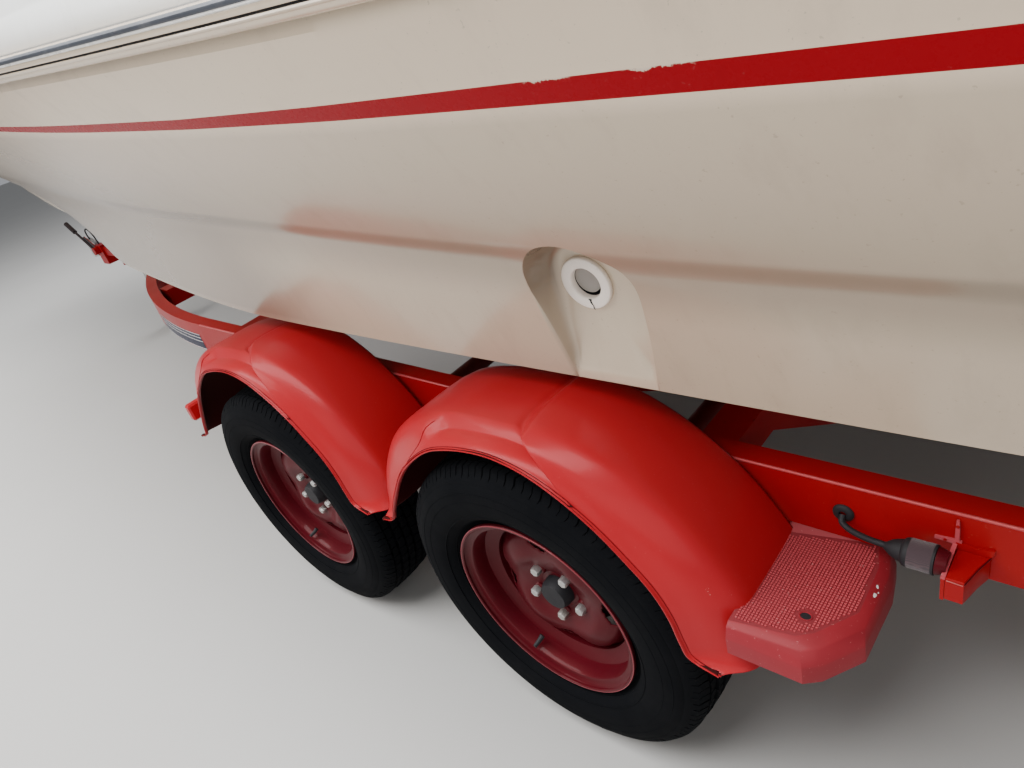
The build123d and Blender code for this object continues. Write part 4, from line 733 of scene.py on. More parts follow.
def side_rows(x):
    """Points of one half section, keel to sheer, with a label and a painted-shade value for each."""
    _, kz, cy, cz, ny, nz, sy, sz = hull_row(x)
    P, lab, painted_shade = [], [], []

    def put(y, z, lb, d):
        P.append((y, z))
        lab.append(lb)
        painted_shade.append(d)
    # painted shade for each point: darker on the bottom and lower panel, darkest on the ledge under the knuckle, fading
    # up the topside to nothing at the stripe
    NB = 9
    for i in range(NB):
        t = i / NB
        # slight concave bottom near the chine
        put(cy * t, mix(kz, cz, t) - 5.0 * math.sin(math.pi * t) * min(1, cy / 300), "bottom", 0.35)
    # small spray flat at the chine
    fl = min(14.0, cy * 0.25)
    put(max(cy - fl, 0.0), cz - 1.0, "bottom", 0.35)
    # painted shade and painted reflection: the lower side grows darker from x 380 forward
    fwd_ = smooth((x - 380) / 420)
    put(cy, cz, "side", 0.44 + 0.36 * fwd_)
    # lower side panel, slightly hollow, and the soft ledge below the knuckle
    kf = min(1.0, max(0.12, (sy - 60) / 700.0))
    low_y, low_z = ny - 21.0 * kf, nz - 38.0 * kf
    NS = 14
    for i in range(1, NS):
        t = i / NS
        put(mix(cy, low_y, t) - 4.0 * kf * math.sin(math.pi * t), mix(cz, low_z, t), "side", 0.42 + 0.34 * smooth((t - 0.60) / 0.40) + 0.05 * (1 - t) ** 2 + (0.50 - 0.26 * smooth((t - 0.6) / 0.4)) * fwd_)
    # ledge as a curve that leaves the lower panel and meets the topside along their own slopes
    s0 = (low_y - cy) / (low_z - cz) + 4.0 * kf * math.pi / (low_z - cz)
    s1 = (sy - ny) / (sz - nz)
    h = nz - low_z
    for i in range(0, 9):
        t = i / 9
        a, b_ = 2 * t ** 3 - 3 * t * t + 1, t ** 3 - 2 * t * t + t
        c_, d_ = -2 * t ** 3 + 3 * t * t, t ** 3 - t * t
        put(a * low_y + b_ * h * s0 + c_ * ny + d_ * h * s1, mix(low_z, nz, t), "side", 0.76 + 0.10 * math.sin(math.pi * t) - 0.12 * smooth((t - 0.7) / 0.3) + 0.22 * fwd_)
    put(ny, nz, "top", 0.64 + 0.14 * fwd_)
    # topside: gentle outward bow
    st = lin(STRIPE, x)
    z0, z1 = st[1], st[1] + st[2]
    rail = sz - 40.0

    def top_y(z):
        t = (z - nz) / (sz - nz)
        return mix(ny, sy, t) + 7.0 * kf * math.sin(math.pi * min(1, max(0, t)))
    z1 = min(z1, rail - 6)
    z0 = min(z0, z1 - 0.6)
    z0, z1 = max(z0, nz + 6), max(z1, nz + 8)
    for i in range(1, 11):
        z = mix(nz, z0, i / 11)
        put(top_y(z), z, "top", mix(0.62 + 0.14 * fwd_, 0.32 + 0.08 * fwd_, i / 11))
    put(top_y(z0), z0, "stripe", 0.0)
    for i in range(1, 4):
        z = mix(z0, z1, i / 4)
        put(top_y(z), z, "stripe", 0.0)
    put(top_y(z1), z1, "top", 0.0)
    for i in range(1, 7):
        z = mix(z1, rail, i / 7)
        put(top_y(z), z, "top", 0.06 * (1 - i / 7))
    put(top_y(rail), rail, "top", 0.0)
    put(top_y(rail), sz - 20, "top", 0.0)
    put(sy, sz, "end", 0.0)
    return P, lab, (nz, cz), painted_shade


def panel_y(x, z):
    """Outside of the lower side panel at (x, z)."""
    P, lab = side_rows(x)[:2]
    q = [p for p, l_ in zip(P, lab) if l_ in ("side", "top")]
    for a, b_ in zip(q, q[1:]):
        if a[1] <= z <= b_[1]:
            return mix(a[0], b_[0], (z - a[1]) / (b_[1] - a[1]))
    return q[0][0]


def make_hull():
    xs = xs_hull()
    base = [x for x in xs if not (-490 < x < -60)]
    xs = sorted(base + [-486 + 8 * i for i in range(20)] + [-328 + 12 * i for i in range(23)])
    verts, faces, mi, sv, sx, dv = [], [], [], [], [], []
    sec = [side_rows(x) for x in xs]
    n = len(sec[0][0])
    for side in (1, -1):
        base_i = len(verts)
        for x, (P, lab, _, painted_shade) in zip(xs, sec):
            for (y, z), d in zip(P, painted_shade):
                verts.append(W(x, side * y, z))
                sv.append(0.0)
                sx.append(0.0)
                # painted shade: darker low on the side beside the mudguards
                dv.append(min(1.0, d))
        for i in range(len(xs) - 1):
            for j in range(n - 1):
                a = base_i + i * n + j
                q = (a, a + 1, a + n + 1, a + n)
                faces.append(q if side < 0 else q[::-1])
                mi.append(1 if sec[i][1][j] == "stripe" else 0)
        js = [j for j in range(n) if sec[0][1][j] == "stripe"]
        for i in range(len(xs)):
            for r, j in enumerate(js + [js[-1] + 1]):
                sv[base_i + i * n + j] = r / len(js)
                if side > 0 and (-352 < xs[i] < -310 or -470 < xs[i] < -410):
                    sx[base_i + i * n + j] = 1.0
        # transom half
        c = len(verts)
        tz = [W(-1600, 0, sec[0][0][j][1]) for j in range(n)]
        verts += tz
        sv += [0.0] * n
        sx += [0.0] * n
        dv += [0.0] * n
        for j in range(n - 1):
            q = (base_i + j, base_i + j + 1, c + j + 1, c + j)
            faces.append(q if side > 0 else q[::-1])
            mi.append(0)
        # stem half, which closes the skin at the bow
        c = len(verts)
        e = base_i + (len(xs) - 1) * n
        verts += [W(xs[-1], 0, sec[-1][0][j][1]) for j in range(n)]
        sv += [0.0] * n
        sx += [0.0] * n
        dv += [0.0] * n
        for j in range(n - 1):
            q = (e + j, e + j + 1, c + j + 1, c + j)
            faces.append(q[::-1] if side > 0 else q)
            mi.append(0)
    o = mesh("hull_skin", verts, faces, [M["hull_side"], M["stripe"]])
    o.data.polygons.foreach_set("material_index", mi)
    for nm, vals in (("sv", sv), ("sx", sx), ("painted_shade", dv)):
        a = o.data.attributes.new(nm, "FLOAT", "POINT")
        a.data.foreach_set("value", vals)
    bm = bmesh.new()
    bm.from_mesh(o.data)
    bmesh.ops.remove_doubles(bm, verts=bm.verts, dist=0.00005)
    bmesh.ops.dissolve_degenerate(bm, dist=0.00001, edges=bm.edges)
    bmesh.ops.recalc_face_normals(bm, faces=bm.faces)
    # recess openings: the outline cut out of the lower side panels
    for side in (1, -1):
        def near():
            out = []
            for f in bm.faces:
                x, y, z = unW(f.calc_center_median())
                if -345 < x < -55 and 803.0 < side * y < 920 and 436 < z < 730:
                    out.append(f)
            return out
        planes = []
        m_ = len(REC)
        for i in range(m_):
            (x0, z0), (x1, z1) = REC[i], REC[(i + 1) % m_]
            planes.append((W(x0, 0, z0), D(z1 - z0, 0, -(x1 - x0))))
        for co, no in planes[1:]:
            fs = near()
            geom = fs + list({e for f in fs for e in f.edges}) + list({v for f in fs for v in f.verts})
            bmesh.ops.bisect_plane(bm, geom=geom, dist=1e-6, plane_co=co, plane_no=no)
        kill = [f for f in near() if all((f.calc_center_median() - co).dot(no) < 1e-7 for co, no in planes[1:])]
        bmesh.ops.delete(bm, geom=kill, context="FACES")
    bm.to_mesh(o.data)
    bm.free()
    sharp(o, 24)
    so = o.modifiers.new("wall", "SOLIDIFY")
    so.thickness = 0.010
    so.offset = -1
    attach(o, "root")
    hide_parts("hull_shell")
    # walls, fillet and floor of each recess, from the outline in to the outlet's hole
    rows = [(-0.5, 0.0), (0.0, 0.008), (0.5, 0.035), (1.2, 0.10), (2.0, 0.24), (3.0, 0.42), (4.5, 0.60), (7.0, 0.76), (10.5, 0.875), (15.0, 0.945), (20.0, 0.985), (26.0, 1.0)]
    ths = [2 * math.pi * i / 132 for i in range(132)]
    for (x0, z0) in REC:
        ths.append(math.atan2(z0 - OUT_Z, x0 - OUT_X) % (2 * math.pi))
    ths = sorted(ths)
    keep = [ths[0]]
    for t_ in ths[1:]:
        if t_ - keep[-1] > 0.004:
            keep.append(t_)
    ths = keep
    for side, nm in ((1, "port"), (-1, "starboard")):
        vs, dd = [], []
        for th in ths:
            R = ray_out(th)
            for off, f in rows:
                r = R - off
                x, z = OUT_X + r * math.cos(th), OUT_Z + r * math.sin(th)
                zc_ = max(z, 440.5)
                y = mix(panel_y(x, zc_) - 0.15, mix(panel_y(x, zc_) - 0.6, rec_floor(zc_), smooth((zc_ - 441) / 45)), f)
                vs.append(W(x, side * y, zc_))
                # painted shade on the walls, strongest on the upper forward side, and a little more towards the foot of
                # the moulding
                wall = smooth((1.0 - f) / 0.12)
                up_ = (0.5 + 0.5 * math.cos(th - 1.05)) ** 1.6
                dd.append(mix(0.40, 0.44 + 0.75 * up_, wall) * smooth((zc_ - 425) / 60) + 0.16 * smooth((520 - zc_) / 90))
            # floor round the hole: painted shade, darker towards the bottom
            for r in (0.55 * (R - 26) + 0.45 * 36, 36.0, 33.0):
                x, z = OUT_X + r * math.cos(th), OUT_Z + r * math.sin(th)
                zc_ = max(z, 440.5)
                vs.append(W(x, side * mix(panel_y(x, zc_) - 0.6, rec_floor(zc_), smooth((zc_ - 441) / 45)), zc_))
                dd.append(0.38 + 0.12 * smooth((520 - zc_) / 90))
        k = len(rows) + 3
        fs = []
        for i in range(len(ths)):
            j = (i + 1) % len(ths)
            for q in range(k - 1):
                f = (i * k + q, i * k + q + 1, j * k + q + 1, j * k + q)
                fs.append(f if side > 0 else f[::-1])
        ro = mesh("outlet_recess_" + nm, vs, fs, [M["hull_side"]])
        a = ro.data.attributes.new("painted_shade", "FLOAT", "POINT")
        a.data.foreach_set("value", [min(1.0, v) for v in dd])
        out_y = sum(p.normal.y * p.area for p in ro.data.polygons)
        if out_y * side < 0:
            ro.data.flip_normals()
        sharp(ro, 60)
        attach(ro, "root")
    return o


hull = make_hull()


# ------------------------------------------------------------------ deck skin
def deck_pts(x):
    """Half section from the sheer to the centre line."""
    h = hull_row(x)
    _, bh, tum, crown = deck_row(x)
    sy, sz = h[6], h[7]
    by, bz = sy - tum, sz + bh
    P = []
    k = min(1.0, by / 500.0)
    # raised side with two faint mould steps
    for t, d in ((0.0, 0), (0.28, 0), (0.30, 2.5), (0.33, 3), (0.58, 3), (0.60, 5.5), (0.63, 6), (0.80, 6)):
        P.append((mix(sy, by, t) - d * k, mix(sz, bz, t)))

    def top(y):
        q = min(1.0, abs(y) / by) if by > 0 else 0
        return bz + crown * (1 - q ** 3.2)
    r = 26.0 * k
    for a in range(0, 6):
        th = math.pi / 2 * a / 5
        P.append((by - r + r * math.cos(th) - 6 * k * (1 - a / 5), bz - r + r * math.sin(th) + 0.0))
    N = 16
    for i in range(1, N + 1):
        y = (by - r) * (1 - i / N)
        P.append((y, top(y) if i > 1 else mix(bz, top(y), 0.9)))
    return P


def cut_region(bm, planes, zmin=None):
    """Bisects by each plane (point, outward normal) and drops what is inside them all."""
    for co, no in planes:
        near = [f for f in bm.faces]
        geom = near + list({e for f in near for e in f.edges}) + list({v for f in near for v in f.verts})
        bmesh.ops.bisect_plane(bm, geom=geom, dist=1e-6, plane_co=co, plane_no=no)
    kill = [f for f in bm.faces if all((f.calc_center_median() - co).dot(no) < 1e-7 for co, no in planes)]
    bmesh.ops.delete(bm, geom=kill, context="FACES")


def poly_planes(pts2):
    """Vertical planes of a convex outline in the level frame, given counter-clockwise as (x, y)."""
    out = []
    n = len(pts2)
    for i in range(n):
        (x0, y0), (x1, y1) = pts2[i], pts2[(i + 1) % n]
        out.append((W(x0, y0, 1200), D(y1 - y0, -(x1 - x0), 0)))
    return out


WIN_X0, WIN_X1 = 1750.0, 2950.0


def win_outline(grow=0.0):
    zs = lambda x: lin(HULL, x)[7]
    a, b = WIN_X0, WIN_X1
    return [(a - grow, zs(a) + 62 - grow), (b + grow, zs(b) + 78 - grow), (b - 90, zs(b) + 142 + grow), (a + 120, zs(a) + 158 + grow)]


HAT = (3050.0, 3550.0, 250.0)


def make_deck():
    xs = [-1600 + 50.0 * i for i in range(144)] + [5600 + 35.0 * i for i in range(24)]
    xs = [x for x in xs if x < BOW_X - 10] + [BOW_X]
    sec = [deck_pts(x) for x in xs]
    n = len(sec[0])
    bm = bmesh.new()
    full = []
    for x, P in zip(xs, sec):
        ring = [bm.verts.new(W(x, y, z)) for y, z in P]
        ring += [bm.verts.new(W(x, -y, z)) for y, z in P[:-1][::-1]]
        full.append(ring)
    for a, b in zip(full, full[1:]):
        for j in range(len(a) - 1):
            bm.faces.new((a[j], b[j], b[j + 1], a[j + 1]))
    # after end, closing the raised deck above the transom, and the bow tip
    for ring, fl in ((full[0], False), (full[-1], True)):
        lo = [bm.verts.new(v.co.copy()) for v in ring]
        z = min(v.co.z for v in ring)
        for v in lo:
            v.co.z = z
        for j in range(len(ring) - 1):
            q = (ring[j], ring[j + 1], lo[j + 1], lo[j])
            bm.faces.new(q if fl else q[::-1])
    bmesh.ops.remove_doubles(bm, verts=bm.verts, dist=0.00005)
    # cockpit
    well = [(x, -y) for x, y in WELL] + [(x, y) for x, y in reversed(WELL)]
    aft = [f for f in bm.faces]
    cut_region(bm, poly_planes(well) + [(W(0, 0, 1120), D(0, 0, -1))])
    cut_region(bm, poly_planes([(HAT[0], -HAT[2]), (HAT[1], -HAT[2]), (HAT[1], HAT[2]), (HAT[0], HAT[2])]))
    # side windows
    for s in (1, -1):
        w = win_outline(2.0)
        pl = [(W(2300, s * 800, 1200), D(0, -s, 0))]
        for i in range(4):
            (x0, z0), (x1, z1) = w[i], w[(i + 1) % 4]
            pl.append((W(x0, 0, z0), D(z1 - z0, 0, -(x1 - x0))))
        cut_region(bm, pl)
    bmesh.ops.recalc_face_normals(bm, faces=bm.faces)
    me = bpy.data.meshes.new("deck_skin")
    bm.to_mesh(me)
    bm.free()
    me.materials.append(M["white"])
    o = bpy.data.objects.new("deck_skin", me)
    bpy.context.scene.collection.objects.link(o)
    # normals must look up and out
    up = sum(p.normal.z * p.area for p in me.polygons)
    if up < 0:
        me.flip_normals()
    me.polygons.foreach_set("use_smooth", [True] * len(me.polygons))
    sharp(o, 28)
    so = o.modifiers.new("wall", "SOLIDIFY")
    so.thickness = 0.009
    so.offset = -1
    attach(o, "root")
    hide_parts("deck_moulding")
    return o


deck = make_deck()


def deck_z(x, y):
    h = hull_row(x)
    _, bh, tum, crown = deck_row(x)
    by, bz = h[6] - tum, h[7] + bh
    return bz + crown * (1 - min(1.0, abs(y) / by) ** 3.2)


# coamings: cockpit edge, hatch rim, window gaskets
cb = Build()
edge = []
for i, (x, y) in enumerate(WELL):
    edge.append((x, y))
route = []
rim = [(-1350, 0), (-1350, 350), (-1350, 640), (-1340, 690), (-1290, 706), (-900, 731), (-400, 766), (200, 775), (750, 781), (1100, 754),
       (1270, 741), (1318, 722), (1331, 670), (1331, 350), (1331, 0)]
rim = rim + [(x, -y) for x, y in reversed(rim[1:-1])]
pts = catmull([W(x, y, deck_z(x, y) + 4) for x, y in rim], 6, True)
cb.tube(pts, 0.017, 10, 0, closed=True)
cb.obj("cockpit_coaming", [M["white"]])
hb = Build()
zc = deck_z(3300, 0)
hc = [(HAT[0] - 18, -HAT[2] - 18), (HAT[1] + 18, -HAT[2] - 18), (HAT[1] + 18, HAT[2] + 18), (HAT[0] - 18, HAT[2] + 18)]
HZT = lin(DECK, 3300)[3] + lin(HULL, 3300)[7] + lin(DECK, 3300)[1] + 24   # coaming top as in the frame
for (x0, y0), (x1, y1) in zip(hc, hc[1:] + hc[:1]):
    c = W((x0 + x1) / 2, (y0 + y1) / 2, HZT - 40)
    lx = abs(x1 - x0) + 34 if abs(x1 - x0) > 1 else 34
    ly = abs(y1 - y0) + 34 if abs(y1 - y0) > 1 else 34
    hb.box(c, (lx / 1000, ly / 1000, 0.08), (D(1, 0, 0), Vector((0, 1, 0)), D(0, 0, 1)), 0.006)
hb.obj("hatch_coaming", [M["white"]])
gb = Build()
for s in (1, -1):
    w = win_outline(6.0)
    loop = []
    for i in range(4):
        (x0, z0), (x1, z1) = w[i], w[(i + 1) % 4]
        for t in (0.03, 0.08, 0.2, 0.35, 0.5, 0.65, 0.8, 0.92, 0.97):
            x, z = mix(x0, x1, t), mix(z0, z1, t)
            h = hull_row(x)
            d = deck_row(x)
            q = (z - h[7]) / d[1]
            y = mix(h[6], h[6] - d[2], q) + 0.5
            loop.append(W(x, s * y, z))
    gb.tube(loop, 0.0085, 8, 0, closed=True)
gb.obj("window_gaskets", [M["black"]])


# ------------------------------------------------------------------ rub rail
def make_rail():
    # section: outward from the sheer, up; beige mouldings with a groove whose floor is painted black as shade, white
    # lip, rubber band
    S = [(0.3, -25), (6, -23.6), (9, -20.5), (10, -17.8), (12.6, -16.7), (13.7, -14.9), (13.2, -12.9), (10.6, -12.5), (10.4, -10.4), (14.8, -9.9),
         (16.6, -7.6), (17.2, -4.8), (16.8, -3.1), (18.7, -2.8), (19.5, -1.6), (19.1, -0.3), (20.4, 0.3), (21.6, 2.6), (21.4, 5.2), (19.2, 7.4),
         (15, 8.5), (11, 9.1), (5, 10.4), (0.0, 11)]
    lab = []
    for a, b in zip(S, S[1:]):
        zc_ = (a[1] + b[1]) / 2
        # the groove's floor takes the black material: painted shade
        lab.append(1 if 0.0 < zc_ < 8.6 else 2 if -3.0 < zc_ <= 0.0 else 3 if -12.55 < zc_ < -10.3 and a[0] < 11 else 0)
    xs = [x for x in xs_hull()]
    verts, faces, mi = [], [], []
    for s in (1, -1):
        b0 = len(verts)
        for x in xs:
            h = hull_row(x)
            k = 1.0 if x < 6000 else mix(1.0, 0.75, (x - 6000) / 440)
            # widthwise direction square to the sheer in plan
            h2 = hull_row(min(BOW_X, x + 20))
            h1 = hull_row(max(-1600, x - 20))
            dx = h2[0] - h1[0]
            dy = h2[6] - h1[6]
            L = math.hypot(dx, dy)
            nx, ny = -dy / L, dx / L
            for o_, z_ in S:
                verts.append(W(x + nx * o_ * k * (0.4 if x > 6400 else 1), s * (h[6] + ny * o_ * k), h[7] + z_))
        n = len(S)
        for i in range(len(xs) - 1):
            for j in range(n - 1):
                a = b0 + i * n + j
                q = (a, a + 1, a + n + 1, a + n)
                faces.append(q if s < 0 else q[::-1])
                mi.append(lab[j])
        for e in (0, len(xs) - 1):
            f = [b0 + e * n + j for j in range(n)]
            faces.append(tuple(f))
            mi.append(0)
    o = mesh("rub_rail_moulding", verts, faces, [M["hull"], M["navy"], M["plastic"], M["black"]])
    o.data.polygons.foreach_set("material_index", mi)
    bm = bmesh.new()
    bm.from_mesh(o.data)
    bmesh.ops.recalc_face_normals(bm, faces=bm.faces)
    bm.to_mesh(o.data)
    bm.free()
    sharp(o, 38)
    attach(o, "root")
    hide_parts("rub_rail")


make_rail()

# ------------------------------------------------------------------ side outlets
ob = Build()
for s in (1, -1):
    c = W(OUT_X, s * OUT_Y, OUT_Z)
    ax_ = D(0, s, -0.09)
    ob.lathe([(0.0003, 0.0318), (0.0003, 0.0396), (0.0010, 0.0400), (0.0050, 0.0398), (0.0064, 0.0390), (0.0069, 0.0378), (0.0069, 0.0262),
              (0.0064, 0.0248), (0.0050, 0.0238), (0.0025, 0.0234), (-0.0030, 0.0233), (-0.0030, 0.0300), (-0.0060, 0.0318)], c, ax_, 72, 0, closed=True)
    ob.lathe([(-0.036, 0.0318), (-0.0061, 0.0318), (-0.0031, 0.0299), (-0.0031, 0.0233), (-0.036, 0.0232)], c, ax_, 72, 1, closed=True)
    # a hair crack at the foot of the flange
    dn, sd_ = D(0, -s * 0.09 * s, -1), D(1, 0, 0)
    dn = (dn - ax_ * dn.dot(ax_)).normalized()
    q = []
    for r, w_, of_ in ((0.0238, 0.0030, -0.0004), (0.0266, 0.0014, -0.0020), (0.0296, 0.0016, -0.0020), (0.0340, 0.0007, -0.0046), (0.0372, 0.0010, -0.0044), (0.0399, 0.0008, -0.0056)):
        for sg in (-1, 1):
            q.append(c + ax_ * (0.0073 if r > 0.0262 else 0.0062) + dn * r + sd_ * (w_ * sg + of_))
    ob.add(q, [(2 * i, 2 * i + 1, 2 * i + 3, 2 * i + 2) for i in range(5)], 1)
ob.obj("outlet_rings", [M["outlet"], M["black"]], 40)
fb = Build()
for s in (1, -1):
    # rubber flap hung at its forward upper edge, so that a dark crescent stays open below and aft of it
    ax_ = D(0, s, -0.09)
    c = W(OUT_X + 1.5, s * (OUT_Y - 3.0), OUT_Z + 2.0)
    fb.lathe([(-0.0030, 0.0), (-0.0030, 0.0199), (-0.0020, 0.0207), (0.0, 0.0207), (0.0006, 0.0197), (0.0004, 0.0120), (0.0010, 0.0)], c, ax_, 48, 0)
fb.obj("outlet_flaps", [M["grey"]], 35)
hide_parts("side_outlets")
# dark pipe behind each flap
pb = Build()
for s in (1, -1):
    c = W(OUT_X, s * (OUT_Y - 36), OUT_Z)
    pb.lathe([(0.0, 0.0), (0.0, 0.0230), (0.018, 0.0230)], c, D(0, s, -0.09), 40)
pb.obj("outlet_pipes", [M["black"]], 35)


# ------------------------------------------------------------------ mudguards
# shoulder line (x, z) and arch lip (x, z), front foot to rear foot
SH = [(404, 78), (401, 128), (386, 184), (357, 240), (310, 297), (250, 341), (190, 369), (120, 385), (45, 392), (-30, 395), (-95, 391),
      (-160, 374), (-225, 341), (-282, 297), (-328, 248), (-364, 196), (-390, 148), (-404, 110), (-412, 76)]
LP = [(392, 84), (352, 96), (333, 135), (302, 183), (252, 250), (200, 299), (140, 340), (85, 361), (25, 374), (-32, 377), (-92, 366),
      (-150, 339), (-205, 300), (-247, 258), (-284, 214), (-306, 168), (-318, 120), (-330, 86), (-372, 74)]
LP = [(min(x + 8, 396), z - 5.5 if z > 100 else z) for x, z in LP]


def prof(T, s):
    k = s * (len(T) - 1)
    i = min(int(k), len(T) - 2)
    t = k - i
    p0 = T[max(i - 1, 0)]
    p1, p2 = T[i], T[i + 1]
    p3 = T[min(i + 2, len(T) - 1)]
    return tuple(0.5 * ((2 * p1[a]) + (p2[a] - p0[a]) * t + (2 * p0[a] - 5 * p1[a] + 4 * p2[a] - p3[a]) * t * t +
                        (3 * p1[a] - p0[a] - 3 * p2[a] + p3[a]) * t ** 3) for a in (0, 1))


# across the guard: y and weight from shoulder (0) to lip (1), for the front panel and for the rear panel
CROSS = [(736, -1.0, 736, -1.0), (740, -0.9, 740, -0.9), (760, -0.62, 760, -0.62), (785, -0.42, 785, -0.42), (815, -0.25, 815, -0.25), (845, -0.12, 845, -0.12),
         (870, -0.04, 870, -0.04), (886, 0.0, 884, 0.0), (896, 0.004, 894, 0.015), (901.5, 0.010, 903, 0.045), (904, 0.03, 910, 0.085), (907, 0.10, 916, 0.135),
         (911, 0.21, 921.5, 0.195), (915.5, 0.34, 927, 0.27), (920, 0.47, 932, 0.355), (924, 0.585, 937, 0.45), (925.6, 0.625, 941.5, 0.55), (928.0, 0.640, 945.5, 0.65),
         (933, 0.655, 949, 0.74), (940, 0.69, 952, 0.81), (946, 0.735, 954.5, 0.86), (951, 0.79, 956.5, 0.90), (955, 0.85, 958.3, 0.925), (957.6, 0.90, 959.4, 0.945),
         (958.6, 0.925, 959.8, 0.955), (961.6, 0.932, 962.0, 0.960), (962.8, 0.948, 963.0, 0.969), (961.2, 0.963, 961.5, 0.977), (959.0, 0.975, 959.6, 0.985),
         (963.6, 0.985, 963.8, 0.992), (965.6, 1.005, 965.6, 1.008), (965.2, 1.03, 965.2, 1.03), (962.5, 1.045, 962.5, 1.045), (957, 1.05, 957, 1.05)]
# where the raised rear panel starts, x over y
SEAM = {"rear": [(730, -34), (752, -36), (800, -38), (860, -36), (896, -44), (926, -58), (940, -80), (950, -111), (960, -152), (967, -180)],
        "front": [(730, -12), (742, -9), (822, 4), (862, 7), (885, -6), (900, -27), (926, -69), (940, -96), (950, -142), (960, -198), (967, -225)]}
FRONT_SEAM = [(896, 134), (905, 139), (915, 148), (926, 164), (940, 178), (950, 200), (960, 228), (966, 246)]
SCUFF = [(-290, 932, 296, 15), (-303, 933, 279, 13), (-338, 930, 226, 14), (-349, 930, 205, 15), (-366, 905, 196, 8)]


def guard(name, x0, s, which):
    NV = len(CROSS)
    seam = SEAM[which]

    def raw(u, j, rear):
        sx_, sz_ = prof(SH, u)
        lx, lz = prof(LP, u)
        yF, wF, yR, wR = CROSS[j]
        k = 1.0 if rear else smooth((sx_ - 128) / 60)
        y, w = mix(yF, yR, k), mix(wF, wR, k)
        L = math.hypot(sx_, sz_)
        nx, nz = sx_ / L, sz_ / L
        if w < 0:
            fall = 11.0 * (w * w) * math.sin(math.pi * min(1, max(0, (u - 0.02) / 0.96)))
            return sx_ - nx * fall, y, sz_ - nz * fall, nx, nz, w
        full = mix(3.0, 9.0, k) * math.sin(math.pi * min(1.0, w)) * (1 - 0.4 * w)
        return mix(sx_, lx, w) + nx * full, y, mix(sz_, lz, w) + nz * full, nx, nz, w

    def find(x, j, rear):
        a, b_ = 0.12, 0.93
        for _ in range(26):
            m_ = (a + b_) / 2
            if raw(m_, j, rear)[0] > x:
                a = m_
            else:
                b_ = m_
        return (a + b_) / 2

    def pt(u, j, rear, d):
        x, y, z, nx, nz, w = raw(u, j, rear)
        k = smooth((y - 898) / 34)
        wd, hi = mix(19.0, 1.6, k), mix(10.0, 2.2, k) * (1 - smooth((w - 0.90) / 0.05))
        if not rear:
            hi_ = -2.4 * math.exp(-((d + 6) / 7.5) ** 2) * (1 - k)
        else:
            hi_ = hi * smooth(d / wd) * (1.0 if u < 0.86 else smooth((1 - u) / 0.14))
        return Vector((x + nx * hi_, y, z + nz * hi_))
    N1, N2 = 66, 96
    pre = [30.0, 22.0, 16.0, 12.0, 9.0, 6.5, 4.0, 2.0, 0.0]
    post = [0.5, 1.2, 2.4, 4.5, 7.5, 11.0, 14.5, 18.5, 24.0]
    cols = []
    for j in range(NV):
        yr = CROSS[j][2]
        xc = lin(seam, yr)[1]
        row = []
        ua = find(xc + 40.0, j, False)
        for i in range(N1):
            row.append(pt(ua * i / (N1 - 1), j, False, -99))
        for d in pre:
            row.append(pt(find(xc + d, j, False), j, False, -d))
        for d in post:
            row.append(pt(find(xc - d, j, True), j, True, d))
        ub = find(xc - 36.0, j, True)
        for i in range(N2):
            row.append(pt(mix(ub, 1.0, i / (N2 - 1)), j, True, 99))
        cols.append(row)
    NU = len(cols[0])
    vs, fs = grid(NU, NV, lambda i, j: cols[j][i])
    sc = []
    for v in vs:
        a = 0.0
        if which == "rear":
            for (px, py, pz, r) in SCUFF:
                dx, dz = v.x - px, v.z - pz
                al, ac = (dx * 0.58 + dz * 0.81), (dx * 0.81 - dz * 0.58)
                a = max(a, math.exp(-(al / r) ** 2 - (ac / 4.0) ** 2 - ((v.y - py) / 7.0) ** 2))
        sc.append(a)
    lipline = [W(x0 + cols[NV - 4][i].x, s * cols[NV - 4][i].y, cols[NV - 4][i].z) for i in range(0, NU, 2)]
    vs = [W(x0 + v.x, s * v.y, v.z) for v in vs]
    o = mesh(name, vs, fs, [M["redg"], M["under"]])
    at = o.data.attributes.new("scuff", "FLOAT", "POINT")
    at.data.foreach_set("value", sc if s > 0 else [0.6 * v for v in sc])
    bm = bmesh.new()
    bm.from_mesh(o.data)
    bmesh.ops.recalc_face_normals(bm, faces=bm.faces)
    up = sum(f.normal.z * f.calc_area() for f in bm.faces)
    if up < 0:
        bmesh.ops.reverse_faces(bm, faces=bm.faces)
    bm.to_mesh(o.data)
    bm.free()
    sharp(o, 42)
    so = o.modifiers.new("wall", "SOLIDIFY")
    so.thickness = 0.0030
    so.offset = -1
    # inner faces take the near-black underside paint: painted shade inside the arch
    so.material_offset = 1
    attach(o, "root")
    # weld line at the front of the front panel
    b = Build()
    line = []
    for j in range(8, NV - 3):
        yf = CROSS[j][0]
        if yf < 914:
            continue
        u = find(lin(FRONT_SEAM, yf)[1], j, False)
        x, y, z, nx, nz, w = raw(u, j, False)
        line.append(W(x0 + x + nx * 0.3, s * (y + 0.2), z + nz * 0.3))
    b.tube(line, 0.0008, 6, 0)
    b.obj(name + "_weld", [M["redg"]], 60, "root")
    return o


for n_, x0 in (("rear", 0.0), ("front", 819.0)):
    for sd, s in (("left", 1), ("right", -1)):
        guard("mudguard_%s_%s" % (n_, sd), x0, s, n_)
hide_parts("mudguards")

# ------------------------------------------------------------------ tyres
TP = [(-61.5, 180), (-62.0, 197), (-66, 203), (-78, 210), (-87, 224), (-91.5, 243), (-92.3, 262), (-90, 279), (-86, 291), (-84.6, 292.4), (-84.0, 295), (-80, 303), (-74, 309.5)]


